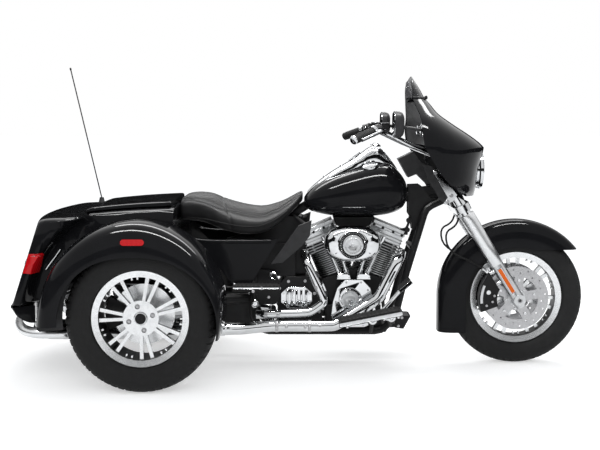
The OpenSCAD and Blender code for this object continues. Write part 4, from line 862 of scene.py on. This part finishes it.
def on_skin(names, origin, direction):
    """The point, in millimetres, and the outward normal where a line first meets the named nodes."""
    key = tuple(names) if isinstance(names, list) else (names,)
    if key not in trees:
        trees[key] = tree_of(key)
    hit, normal, _, _ = trees[key].ray_cast(Vector(origin) * MM, Vector(direction))
    if hit is None:
        raise ValueError(f"nothing of {key[0]} from {tuple(origin)}")
    return hit / MM, -normal if normal.dot(Vector(direction)) > 0 else normal


def from_side(names, x, z, side=-1):
    return on_skin(names, (x, side * 1500, z), (0, -side, 0))


def from_top(names, x, y):
    return on_skin(names, (x, y, 2000), (0, 0, -1))


def bolts(name, names, places, r, h, material, side=-1, socket=False):
    """Bolt heads seated where lines from one side meet the named nodes."""
    build = Build()
    for x, z in places:
        at, out = from_side(names, x, z, side)
        if socket:
            build.button(at, out, r, h)
        else:
            build.bolt(at, out, r, h)
    build.make(name, material)


def ring(r, inner, h, edge=1.0):
    """Profile of a flat ring of height h."""
    return [(r, 0), (r, h - edge), (r - edge, h), (inner + edge, h), (inner, h - edge), (inner, 0)]


LUG_CIRCLE = 52
LUG_FACE = 54.2
HUB_FACE = 74.1
RIM_INSIDE = 178.5
VALVE_ANGLE = 228


def rear_wheel_fittings():
    for side, name in SIDES:
        middle = rear_wheel(side)
        out = Vector((0, side, 0))
        body = "rear_wheel_" + name
        nuts = Build()
        for i in range(4):
            nuts.bolt(middle + spoke(90 * i + 15) * LUG_CIRCLE + out * LUG_FACE, out, 7.6, 12)
        nuts.make("lug_nuts_" + name, STEEL, body)
        cap = Build()
        cap.lathe([(23, 0), (23, 2.5), (20.5, 4.5), (16, 4.5), (14.5, 3), (8, 3), (6.5, 4.2), (0.4, 4.6)],
                  middle + out * HUB_FACE, out, 40)
        cap.make("hub_cap_" + name, SATIN, body)
        valve = Build()
        foot = middle + spoke(VALVE_ANGLE) * RIM_INSIDE + out * 30
        lean = (out * 0.9 - spoke(VALVE_ANGLE)).normalized()
        valve.tube([foot, foot + lean * 20, foot + lean * 32], [4.5, 3.6, 3.2], 10)
        valve.make("valve_" + name, RUBBER, body)


DISC_FACE = 71.1
CALIPER_FACE = 106.1


def front_wheel_fittings():
    studs = Build()
    rings = Build()
    for side in (-1, 1):
        out = Vector((0, side, 0))
        face = FRONT_AXLE + out * DISC_FACE
        for i in range(5):
            studs.button(face + spoke(72 * i + 11) * 84, out, 7, 5)
        for i in range(5):
            studs.button(face + spoke(72 * i + 47) * 50, out, 5, 5)
        rings.lathe(ring(42, 24, 3.5), face, out, 48, caps=False)
    studs.make("disc_studs", CHROME, "front_wheel")
    rings.make("disc_carriers", ALLOY, "front_wheel")


def fork_fittings():
    along = slanted(FORK_LEAN)
    amber = Build()
    bezel = Build()
    bolts_on = Build()
    for side in (-1, 1):
        middle = on_fork(113, side * (FORK_Y + 29)) - FORK_OUT * 5
        bezel.block(middle + Vector((0, side * 0.2, 0)), (11.5, 2.2, 67), along, 2)
        amber.block(middle + Vector((0, side * 2.6, 0)), (8.5, 2.4, 63), along, 2)
        for s in (-14, 20):
            bolts_on.bolt(on_fork(s, side * FORK_Y) - FORK_OUT * 28.6, -FORK_OUT, 5, 7)
    amber.make("fork_reflectors", AMBER, "steering")
    bezel.make("reflector_bezels", CHROME, "steering")
    bolts_on.make("fork_drain_bolts", STEEL, "steering")


def caliper_fittings():
    strips = Build()
    heads = Build()
    pins = Build()
    strip = ((165, CALIPER_FACE), (165, 108), (167, 109), (175, 109), (177, 108), (177, CALIPER_FACE))
    for side in (-1, 1):
        out = Vector((0, side, 0))
        arcs = []
        for i in range(0, 13):
            radial = spoke(158 + 2.4 * i)
            arcs.append([FRONT_AXLE + radial * r + out * y for r, y in strip])
        strips.rings(arcs)
        for t, r, size in ((167, 142, 11), (186, 120, 6), (172, 112, 6), (192, 150, 6)):
            at = FRONT_AXLE + spoke(t) * r + out * CALIPER_FACE
            (heads if size > 8 else pins).button(at, out, size, 5)
    strips.make("caliper_strips", ALLOY, "steering")
    heads.make("caliper_heads", CHROME, "steering")
    pins.make("caliper_pins", STEEL, "steering")


def cut_corners(points):
    """A smooth route inside the given corners, each cut twice."""
    p = [Vector(q) for q in points]
    for _ in range(2):
        cut = [p[0]]
        for a, b in zip(p, p[1:]):
            cut += [a * 0.75 + b * 0.25, a * 0.25 + b * 0.75]
        p = cut + [p[-1]]
    return p


def cord(name, body, corners, radius):
    """A hose, cable or lead with both ends fixed to the object."""
    route = cut_corners(corners)
    piece = Build().tube(route, radius, 12).make(name, RUBBER, body)
    return piece


def brake_hoses():
    """The hoses from the lower clamp to the calipers, with their metal ends."""
    metal = Build()
    pieces = []
    for side, name in SIDES:
        end = FRONT_AXLE + Vector((-146, side * 92, 128))
        back = Vector((-60, side * 8, 42)).normalized()
        metal.tube([end + back * 2, end + back * 4, end + back * 26, end + back * 28], [5, 6.5, 6.5, 5], 14)
        metal.lathe([(7, -6), (8.5, -4), (8.5, 4), (7, 6)], end, (0, 1, 0), 18)
        top = on_steer(LOWER_CLAMP) + Vector((-18, side * 70, -9))
        leaves = top + Vector((-2, 0, -26))
        metal.tube([top + Vector((0, 0, 1)), top - Vector((0, 0, 5)), top - Vector((1, 0, 18)), leaves],
                   [5, 6.4, 6.4, 5], 14)
        corners = [leaves + Vector((0, 0, 4)), leaves + Vector((-14, side * 4, -38))]
        for x, y, z in ((-346, 88, 312), (-326, 96, 222), (-206, 100, 170), (-146, 92, 128)):
            corners.append(FRONT_AXLE + Vector((x, side * y, z)))
        pieces.append(cord("brake_hose_" + name, "steering", corners, 4.5))
    metal.make("hose_ends", CHROME, "steering")
    for piece in pieces:
        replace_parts(piece, "brake_hoses")


def bracket_fittings():
    heads = Build()
    for x, z in ((614, 912), (690, 808), (672, 780)):
        at, out = from_side("fairing_brackets", x, z)
        heads.lathe([(9, 0), (9, 3), (7.5, 5), (4, 5), (3.4, 3.4)], at, out, 24)
    heads.mirrored().make("bracket_bolts", STEEL, "steering")


BOARD_TILT = 11
BOARD_HEEL = 846


def board_fittings():
    strips = Build()
    pads = Build()
    caps = Build()
    turn = slanted(BOARD_TILT)
    up = turn @ UP
    fore = turn @ Vector((1, 0, 0))
    for side in (-1, 1):
        foot = ahead(BOARD_HEEL, 0, 240)
        middle = foot + Vector((0, side * 351, 0))
        strips.block(foot + fore * 143 + up * 12 + Vector((0, side * 411.6, 0)), (141, 1.4, 8), turn, 1)
        pads.block(middle + fore * 143 + up * 25.2, (132, 52, 3), turn, 2)
        for i in range(14):
            pads.block(middle + fore * (26 + 18 * i) + up * 29, (5, 48, 1.8), turn, 1.2)
        strips.block(ahead(474, side * 331.2, 406), (103, 1.1, 3), None, 0.8)
        pads.block(ahead(474, side * 285, 412.6), (98, 39, 2.5), None, 1.5)
        for i in range(10):
            pads.block(ahead(393 + 18 * i, side * 285, 415.8), (4.5, 36, 1.4), None, 1)
        for d, z in ((1000, 250), (1085, 262)):
            cap = [(19, -8), (19, 6), (16, 9), (9, 9), (8, 6)]
            caps.lathe(cap, ahead(d, side * 278, z), (0, side, 0), 28)
        for d in (880, 950, 1060, 1110):
            at = foot + fore * (d - BOARD_HEEL) + Vector((0, side * 400, 0))
            caps.bolt(at - up * 0.5, -up, 5, 8)
    strips.make("board_edges", ALLOY)
    pads.make("board_pads", RUBBER)
    caps.make("board_bolts", CHROME)
    pedal = Build()
    turn = slanted(40)
    middle = ahead(1120, -319, 392) + turn @ Vector((32, 0, 7))
    pedal.block(middle, (35, 50, 9.5), turn, 3)
    for i in range(5):
        pedal.block(middle + turn @ Vector((-24 + 12 * i, 0, 10)), (3, 44, 1.4), turn, 0.8)
    pedal.make("pedal_rubber", RUBBER)
    peg = Build()
    rings = []
    for i in range(9):
        rings += [(15, i * 8), (15, i * 8 + 5), (13, i * 8 + 6), (13, i * 8 + 7.5)]
    peg.lathe(rings, ahead(1160, 292, 396), (0, 1, 0), 24)
    peg.make("shifter_rubber", RUBBER)


def regulator_fittings():
    fins = Build()
    for i in range(10):
        y = -54 + 12 * i
        fins.plate([(512.5, 231), (479.5, 169.5), (486, 166), (520, 229)], y - 1.6, y + 1.6, 0.6)
    fins.make("regulator_fins", SATIN)
    bolts("regulator_bolts", "regulator", ((478, 222), (462, 182)), 5, 6, STEEL)


HEAD_TOP = 400.45
PLUG_HEIGHT = 366


def engine_fittings():
    heads = []
    for side in (-1, 1):
        for x in (-70, -26, 26, 70):
            at = on_cylinder(side, x, HEAD_TOP + 23.7)
            heads.append((at.x, at.z))
    for side, name in SIDES:
        bolts("rocker_bolts_" + name, "rocker_covers", heads, 5, 6, SATIN, side)
    half = ((90, 4), (83, 62), (66, 118), (34, 154), (44, -46))
    rim = [(CRANK.x + k * x, CRANK.z + z) for x, z in half for k in (-1, 1)]
    bolts("cam_cover_bolts", "cam_cover", rim, 4.6, 5, STEEL, socket=True)
    cover = Build()
    middle = Vector((CRANK.x - 16, -163.1, CRANK.z + 76))
    profile = [(39, 0), (39, 1.2), (37, 2), (31, 2), (30, 1), (22, 1), (20, 2.4), (8, 3), (0.4, 3.2)]
    cover.lathe(profile, middle, RIGHT, 56)
    for i in range(5):
        cover.button(middle + spoke(72 * i + 20) * 46 - RIGHT * 5, RIGHT, 3.6, 3)
    cover.make("timing_cover", ALLOY)
    lifters = Build()
    for side in (-1, 1):
        x = CRANK.x + side * 46
        outline = ((-34, 416.4), (34, 416.4), (30, 436), (18, 444), (-18, 444), (-30, 436))
        lifters.plate([(x + k, z) for k, z in outline], -146, -106, 3)
        for k in (-26, 26):
            lifters.button(Vector((x + k, -146, 424)), RIGHT, 4, 4)
    lifters.make("lifter_blocks", CHROME)
    plugs = Build()
    for side in (-1, 1):
        at = on_cylinder(side, 0, PLUG_HEIGHT)
        foot, out = from_side("cylinders", at.x, at.z, 1)
        plugs.lathe([(10, 0), (10, 6), (7, 8), (7, 16), (5, 18), (5, 34)], foot, out, 6)
    plugs.make("spark_plugs", STEEL)
    stay = Build()
    stay.tube(catmull([(470, -46, 640), (492, -58, 646), (504, -58, 668), (512, -44, 700)], 5), 6, 12)
    for at in ((500, -58, 640), (506, -58, 684)):
        stay.lathe([(11, -9), (12, -7), (12, 7), (11, 9)], at, (0, 1, 0), 20)
    stay.block((488, -58, 628), (14, 8, 12), None, 2)
    stay.make("engine_stay", SATIN)


def engine_covers():
    """The rocker boxes' lower castings, and the dark covers in the vee, under the seat and at the head."""
    boxes = Build()
    for side in (-1, 1):
        turn = slanted(-side * CYLINDER_LEAN)
        boxes.block(on_cylinder(side, 0, HEAD_TOP - 15), (80, 87, 14.6), turn, 3)
    boxes.make("rocker_boxes", ALLOY)
    black = Build()
    in_vee = [(150, 701), (345, 701), (326, 662), (302, 650), (188, 650), (164, 662)]
    under_seat = [(-215, 579), (-215, 638), (-150, 650), (-112, 666), (-62, 700), (4, 700), (20, 640),
                  (-25, 579)]
    behind_engine = [(-30, 432), (22, 432), (46, 500), (32, 560), (24, 586), (-30, 586)]
    at_head = [(520, 784), (546, 836), (602, 843), (652, 834), (668, 812), (640, 792)]
    for outline, half in ((in_vee, 52), (under_seat, 72), (behind_engine, 62)):
        black.plate(outline, -half, half, 4)
    black.plate(at_head, -20, 20, 3)
    black.make("coil_and_fuse_covers", SATIN)


def fork_skirts():
    """Dark panels inside the fairing's brackets, from the fairing's lower edge down to the lower clamp."""
    skirt = Build()
    outline = [(556, 952), (600, 940), (640, 888), (704, 806), (690, 782), (664, 768), (640, 790), (590, 872)]
    skirt.plate(outline, -154.6, -148, 2)
    skirt.mirrored().make("fork_skirts", PLASTIC, "steering")


def fender_liners():
    """Splash guards that close the rear fenders' tails behind the wheels."""
    liner = Build()
    outline = []
    for i in range(13):
        at = REAR_AXLE + spoke(150 + 38 * i / 12) * 331
        outline.append((at.x, at.z))
    outline += [(-1100, 268), (-1112, 276), (-1111.5, 322), (-1091, 421), (-1055, 510)]
    liner.plate(outline, -622, -615, 2)
    liner.mirrored().make("fender_liners", PLASTIC)


def cover_edges():
    """The rolled upper edges of the side covers."""
    edge = Build()
    path = []
    for d, z in ((176, 619), (200, 611), (262, 605), (330, 604), (400, 604), (470, 604), (540, 605)):
        at, _ = from_side("side_covers", ahead(d, 0, z).x, z)
        path.append(at + Vector((0, 3, 0)))
    edge.tube(catmull(path, 4), 9, 16)
    edge.mirrored().make("side_cover_edges", PAINT)


def shade_plates_by_swing_arms():
    """Dark plates of painted shade that hang from the swing arms ahead of the rear wheels, darkening the gap
    where the far muffler would show.
    """
    shade_plate = Build()
    shade_plate.plate([(-368, 318), (-212, 318), (-206, 222), (-222, 204), (-352, 204), (-368, 220)], -108, -102, 2)
    shade_plate.mirrored().make("shade_plates_by_swing_arms", SATIN)


def fork_covers():
    """Bright covers round the fork legs, from above the reflectors to the lower clamp."""
    cover = Build()
    profile = [(29.4, 196), (30.6, 198), (32.6, 300), (33.6, 360), (34.4, 440), (34.8, 466), (33.6, 470),
               (24.4, 470)]
    for side in (-1, 1):
        cover.lathe(profile, on_fork(0, side * FORK_Y), FORK_DIR, 48, caps=False)
    cover.make("fork_covers", BRIGHT, "steering")


def gearbox_fittings():
    rim = [(-19.8 + j * x, 330 + k * z) for x, z in ((62, 18), (38, 42)) for j in (-1, 1) for k in (-1, 1)]
    bolts("gear_cover_bolts", "gearbox_cover", rim, 4.6, 5, CHROME, socket=True)
    places = ((-58, 401), (20, 403), (-104, 267), (64, 344), (84, 280), (-100, 372), (70, 392), (88, 220),
              (-66, 214), (20, 212), (-140, 440), (-214, 392), (-176, 405), (-240, 342), (-150, 330))
    for side, name in SIDES:
        found = [q for q in places if side < 0 or q[0] < -104]
        bolts("case_bolts_" + name, SHOWN, found, 5.4, 6, STEEL, side)
    plug = Build()
    at, out = from_side(SHOWN, -214, 302)
    profile = [(17, 0), (18, 2), (18, 7), (15, 10), (10, 11), (9, 9), (4, 9), (3, 11), (0.4, 11)]
    plug.lathe(profile, at, out, 36)
    at, out = from_side(SHOWN, -130, 431)
    plug.lathe(ring(19, 9, 10, 2), at, out, 32, caps=False)
    plug.make("case_plugs", CHROME)


TICKS = 44
TICK_R = 55


def air_cleaner_fittings():
    middle = Vector((235, -278.1, 593))
    black = Build()
    profile = [(62.4, 0), (62.4, 1.5), (61, 2.6), (49, 2.6), (47.4, 1.6), (47.4, 0)]
    black.lathe(profile, middle, RIGHT, 72, caps=False)
    black.make("air_cleaner_ring", SATIN)
    ticks = Build()
    for i in range(TICKS):
        turn = slanted(360 * i / TICKS)
        length = 2.8 if i % 4 else 1.6
        ticks.block(middle + turn @ Vector((TICK_R, -2.7, 0)), (length, 0.5, 0.7), turn, 0.3)
    ticks.make("air_cleaner_ticks", ALLOY)
    disc = Build()
    profile = [(45, 0), (45, 1.4), (43, 2.6), (36, 2.8), (35, 2.2), (33, 2.2), (32, 3), (14, 4), (12.5, 3.2),
               (8, 3.2), (7, 4.6), (3.6, 4.6), (3, 3.4)]
    disc.lathe(profile, middle + RIGHT * 4.1, RIGHT, 64)
    disc.make("air_cleaner_disc", ALLOY)


def tank_fittings():
    trim = Build()
    face = Build()
    at, out = from_top("tank_console", 258, 0)
    trim.lathe(ring(37, 30, 7, 2), at - out * 1, out, 48, caps=False)
    face.lathe([(30.5, 0), (30.5, 4), (8, 4.6), (7, 7), (0.4, 8)], at - out * 1, out, 40)
    at, out = from_top("tank_console", 352, 0)
    trim.lathe([(24, 0), (24, 5), (21, 9), (14, 10), (13, 13), (0.4, 14)], at - out * 1, out, 36)
    for side in (-1, 1):
        at, out = from_top("fuel_tank", 322, side * 112)
        trim.lathe([(37, 0), (37, 7), (34, 11), (24, 13), (0.4, 14)], at - out * 1.5, out, 48)
    for x in (110, 190):
        at, out = from_top("tank_console", x, 0)
        trim.button(at, out, 6, 4)
    trim.make("tank_caps", CHROME)
    face.make("fuel_gauge", SATIN)


def lamp_fittings():
    bowl = Build()
    bowl.lathe([(75, 12), (72, -4), (62, -26), (44, -44), (16, -56)], LAMP, FORWARD, 64, caps=False)
    bowl.lathe([(17, -57), (17, -48), (12, -46), (12, -57)], LAMP, FORWARD, 32, caps=False)
    bowl.make("headlamp_bowl", CHROME, "steering")
    bulb = Build()
    bulb.lathe([(9, -50), (10, -44), (10, -26), (7, -19), (0.4, -16)], LAMP, FORWARD, 28)
    bow = ((-20, -66), (6, -40), (9, 0), (6, 40), (-20, 66))
    for z in (-30, 30):
        bulb.tube([LAMP + Vector((x, y, z)) for x, y in bow], 3.2, 10)
    bulb.make("headlamp_bulb", SATIN, "steering")
    tails = Build()
    pale = Build()
    for side in (-1, 1):
        path = []
        for i in range(9):
            k = i / 8
            at, out = from_side("trunk_body", -1050 - 66 * k, 592 - 88 * k, side)
            path.append(at + out * 2.5)
        tails.tube(catmull(path, 3), 9, 12)
        line = []
        for i in range(6):
            at, out = from_side("tail_lamps", -1156 + 8 * i, 574, side)
            line.append(at + out * 0.6)
        pale.tube(catmull(line, 3), 2.0, 8)
    tails.make("tail_lamp_trim", CHROME)
    pale.make("tail_lamp_lines", CLEAR)


GRIP_END = Vector((232, -445, 1070))
GRIP_DIR = Vector((105, 115, 42)).normalized()


def bar_fittings():
    black = Build()
    bright = Build()
    rubber = Build()
    at = GRIP_END + GRIP_DIR * 141
    black.lathe([(18, 0), (22, 3), (22, 34), (18, 37)], at, GRIP_DIR, 28)
    out = GRIP_DIR.cross(UP).normalized()
    for k in (10, 22):
        bright.lathe([(4.5, 20), (4.5, 25), (3.2, 26)], at + GRIP_DIR * k, -out, 12)
    black.block((372, -285, 1126), (24, 17, 13), None, 4)
    bright.block((372, -285, 1140), (22, 15, 1.6), None, 1)
    bright.lathe([(20, 0), (18, 4), (8, 6)], GRIP_END - GRIP_DIR * 7.2, -GRIP_DIR, 28)
    for i in range(12):
        at = GRIP_END + GRIP_DIR * (6 + 9 * i)
        rubber.lathe([(18.6, 0), (20.2, 1.2), (20.2, 3.8), (18.6, 5)], at, GRIP_DIR, 28)
    black.mirrored().make("switch_boxes", SATIN, "steering")
    bright.mirrored().make("bar_trim", CHROME, "steering")
    rubber.mirrored().make("bar_rubbers", RUBBER, "steering")
    glass = Build()
    for side in (-1, 1):
        loop = []
        for i in range(48):
            t = 2 * math.pi * i / 48
            loop.append((70 * math.copysign(abs(math.cos(t)) ** 0.5, math.cos(t)),
                         52 * math.copysign(abs(math.sin(t)) ** 0.5, math.sin(t))))
        rings = [[Vector((x, side * 372 + y * k, 1134 + z * k)) for y, z in loop]
                 for x, k in ((405.2, 1), (403.8, 1), (403.2, 0.97))]
        glass.rings(rings)
    glass.make("mirror_glass", CHROME, "steering")


def gauge_fittings():
    rims = Build()
    faces = Build()
    hands = Build()
    out = Vector((-1, 0, 0.12)).normalized()
    right = ((-82, 1118, 46), (-176, 1112, 27), (-250, 1104, 24))
    for y, z, r in [(k * y, z, r) for y, z, r in right for k in (1, -1)]:
        at, _ = on_skin("fairing_inner", (0, y, z), (1, 0, 0))
        at = at - out * 4
        rims.lathe(ring(r, r - 6, 14, 2), at, out, 40, caps=False)
        faces.lathe([(r - 5.5, 0), (r - 5.5, 10), (0.4, 10.2)], at, out, 32)
        u, v, w = axes_about(out)
        for i in range(11):
            t = math.radians(-60 + 30 * i)
            arm = u * math.cos(t) + v * math.sin(t)
            hands.tube([at + w * 10.8 + arm * (r - 12), at + w * 10.8 + arm * (r - 8)], 0.7, 6)
        hands.tube([at + w * 11.2, at + w * 11.2 + (u - v).normalized() * (r - 13)], [1.6, 0.8], 8)
    rims.make("gauge_rims", CHROME, "steering")
    faces.make("gauge_faces", SATIN, "steering")
    hands.make("gauge_marks", ALLOY, "steering")


SCREEN_FOOT_X = 506
SCREEN_BOW = 70
SCREEN_HALF_W = 170


def screen_fittings():
    trim = Build()
    path = []
    for i in range(0, 25):
        k = -math.cos(math.pi * i / 24)
        x = SCREEN_FOOT_X + SCREEN_BOW * (1 - abs(k) ** 2.4) ** 0.62
        path.append((x + 1.5, SCREEN_HALF_W * k, 1255.5))
    trim.tube(path, 5.2, 10)
    trim.block((583, 0, 1256), (7, 46, 7), None, 3)
    for k in (-1, 1):
        trim.block((580, k * 70, 1256), (4, 9, 9), None, 2)
    trim.make("screen_trim", PLASTIC, "steering")


def trunk_fittings():
    lock = Build()
    at, out = on_skin("trunk_door", (-1800, -320, 520), (1, 0, 0))
    lock.lathe([(17, 0), (17, 4), (14, 6), (10, 6), (9.4, 4.6), (0.4, 4.8)], at, out, 32)
    lock.block(at + out * 5.6, (1.2, 1, 5), None, 0.4)
    lock.make("trunk_lock", CHROME, "trunk_door")
    tip = Build()
    tip.lathe([(3.2, -8), (4.6, -5), (4.6, 2), (3.2, 5), (0.4, 6)], ahead(-476.4, 350, 1406),
              Vector((-145, 0, 680)).normalized(), 16)
    tip.make("antenna_tip", RUBBER)


MUFFLER_Y = 300
MUFFLER_Z = 214


def pipe_fittings():
    bands = Build()
    screws = Build()
    for x, y, z, r in ((40, -220, 214, 27), (-110, -220, 214, 27), (-160, -218, 267, 20)):
        band = [(r + 0.3, -7), (r + 2, -6), (r + 2, 6), (r + 0.3, 7)]
        bands.lathe(band, (x, y, z), FORWARD, 36, caps=False)
        screws.bolt(Vector((x, y - r - 1.5, z)), RIGHT, 4, 6)
    band = [(46.3, -8), (47.6, -6.5), (47.6, 6.5), (46.3, 8)]
    for side in (-1, 1):
        for d in (200, -300):
            bands.lathe(band, ahead(d, side * MUFFLER_Y, MUFFLER_Z), FORWARD, 48, caps=False)
    bands.make("pipe_bands", STEEL)
    screws.make("pipe_screws", STEEL)
    # The dark rings and discs that close the pipe mouths are soot and painted shade of the hollow inside the
    # pipes
    soot_and_shade = Build()
    for side in (-1, 1):
        mouth = ahead(-520.2, side * MUFFLER_Y, MUFFLER_Z)
        soot_and_shade.lathe(ring(34, 28, 4, 1), mouth, -FORWARD, 40, caps=False)
        soot_and_shade.lathe([(28, 0), (28, 0.8), (0.4, 1)], mouth, -FORWARD, 40)
    soot_and_shade.make("pipe_mouths", SATIN)


def primary_fittings():
    front = CRANK + Vector((0, 0, 46))
    rear = CRANK + Vector((-270, 0, 60))
    clutch = CRANK + Vector((-262, 0, 60))
    rim = []
    for i in range(5):
        rim += [front + spoke(-80 + 40 * i) * 94, rear + spoke(100 + 40 * i) * 98]
    rim += [clutch + spoke(60 * i) * 74 for i in range(6)]
    bolts("primary_bolts", "primary_cover", [(q.x, q.z) for q in rim], 4.6, 5, STEEL, 1, socket=True)


rear_wheel_fittings()
front_wheel_fittings()
fork_fittings()
caliper_fittings()
brake_hoses()
bracket_fittings()
board_fittings()
regulator_fittings()
engine_fittings()
engine_covers()
fork_skirts()
fender_liners()
cover_edges()
shade_plates_by_swing_arms()
fork_covers()
gearbox_fittings()
air_cleaner_fittings()
tank_fittings()
lamp_fittings()
bar_fittings()
gauge_fittings()
screen_fittings()
trunk_fittings()
pipe_fittings()
primary_fittings()

# Studio


def studio():
    world = bpy.data.worlds.new("studio")
    scene.world = world
    world.use_nodes = True
    tree = world.node_tree
    tree.nodes.clear()
    out = new(tree, "ShaderNodeOutputWorld")
    light = new(tree, "ShaderNodeBackground", Color=(0.96, 0.98, 1.0, 1), Strength=0.72)
    white = new(tree, "ShaderNodeBackground", Color=(1, 1, 1, 1), Strength=1.0)
    mix = new(tree, "ShaderNodeMixShader")
    tree.links.new(seen_rays(tree), mix.inputs["Fac"])
    tree.links.new(light.outputs["Background"], mix.inputs[1])
    tree.links.new(white.outputs["Background"], mix.inputs[2])
    tree.links.new(mix.outputs["Shader"], out.inputs["Surface"])

    m, tree, bsdf, output = links_for("pale_floor")
    speck = noise(tree, 3.0)
    drift_between(tree, speck, (0.8, 0.8, 0.8, 1), (0.83, 0.83, 0.83, 1), bsdf.inputs["Base Color"])
    bsdf.inputs["Roughness"].default_value = 0.9
    bsdf.inputs["Specular IOR Level"].default_value = 0.0
    glow = new(tree, "ShaderNodeEmission", Strength=0.47)
    both = new(tree, "ShaderNodeAddShader")
    only = new(tree, "ShaderNodeMixShader")
    tree.links.new(bsdf.outputs["BSDF"], both.inputs[0])
    tree.links.new(glow.outputs["Emission"], both.inputs[1])
    tree.links.new(seen_rays(tree), only.inputs["Fac"])
    tree.links.new(bsdf.outputs["BSDF"], only.inputs[1])
    tree.links.new(both.outputs["Shader"], only.inputs[2])
    tree.links.new(only.outputs["Shader"], output.inputs["Surface"])
    floor = bpy.data.meshes.new("floor")
    size = 60
    corners = [(-size, -size, 0), (size, -size, 0), (size, size, 0), (-size, size, 0)]
    floor.from_pydata(corners, [], [(0, 1, 2, 3)])
    obj = bpy.data.objects.new("floor", floor)
    obj.data.materials.append(m)
    scene.collection.objects.link(obj)


def seen_rays(tree):
    """1 for the rays that show the background: camera, glossy and transmission."""
    path = new(tree, "ShaderNodeLightPath").outputs
    first = maths(tree, "MAXIMUM", path["Is Camera Ray"], path["Is Glossy Ray"])
    return maths(tree, "MAXIMUM", first, path["Is Transmission Ray"])


def lamp(name, place_at, target, size, power):
    data = bpy.data.lights.new(name, "AREA")
    data.shape = "RECTANGLE"
    data.size, data.size_y = size
    data.energy = power
    obj = bpy.data.objects.new(name, data)
    scene.collection.objects.link(obj)
    obj.location = place_at
    obj.rotation_mode = "QUATERNION"
    obj.rotation_quaternion = (Vector(target) - Vector(place_at)).to_track_quat("-Z", "Y")
    return obj


def flag():
    """A dark band round the studio that only reflections see: it keeps black paint black at the horizon."""
    m = plain("flag_cloth", (0.01, 0.01, 0.01), (0.015, 0.015, 0.015), (0.9, 1.0), grain=2.0)
    m.node_tree.nodes["Principled BSDF"].inputs["Specular IOR Level"].default_value = 0.0
    n = 48
    radius = 9
    verts = []
    for z in (0.25, 2.6):
        verts += circle(Vector((0, 0, z)), FORWARD, -RIGHT, radius, n)
    faces = [(i, (i + 1) % n, n + (i + 1) % n, n + i) for i in range(n)]
    me = bpy.data.meshes.new("flag")
    me.from_pydata(verts, [], faces)
    obj = bpy.data.objects.new("flag", me)
    obj.data.materials.append(m)
    scene.collection.objects.link(obj)
    obj.visible_camera = False
    obj.visible_diffuse = False
    obj.visible_transmission = False
    obj.visible_shadow = False


studio()
flag()
strip = lamp("overhead_strip", (0.0, -0.6, 3.4), (0.0, 0.0, 0.5), (4.0, 0.32), 420)
strip.visible_diffuse = False
fill = lamp("front_fill", (0.0, -5.5, 3.2), (0.0, 0.0, 0.5), (5.0, 1.6), 110)
fill.visible_glossy = False
lamp("back_strip", (0.0, 2.6, 3.0), (0.0, 0.0, 0.6), (4.0, 0.5), 60)

# Camera

camera_data = bpy.data.cameras.new("camera")
camera_data.sensor_width = 36
camera_data.lens = 64.9
tilt_down = 5.716
camera = bpy.data.objects.new("camera", camera_data)
camera.location = (-0.0039, -5.1102, 1.1679)
camera.rotation_euler = (math.radians(90 - tilt_down), 0, 0)
scene.collection.objects.link(camera)
scene.camera = camera
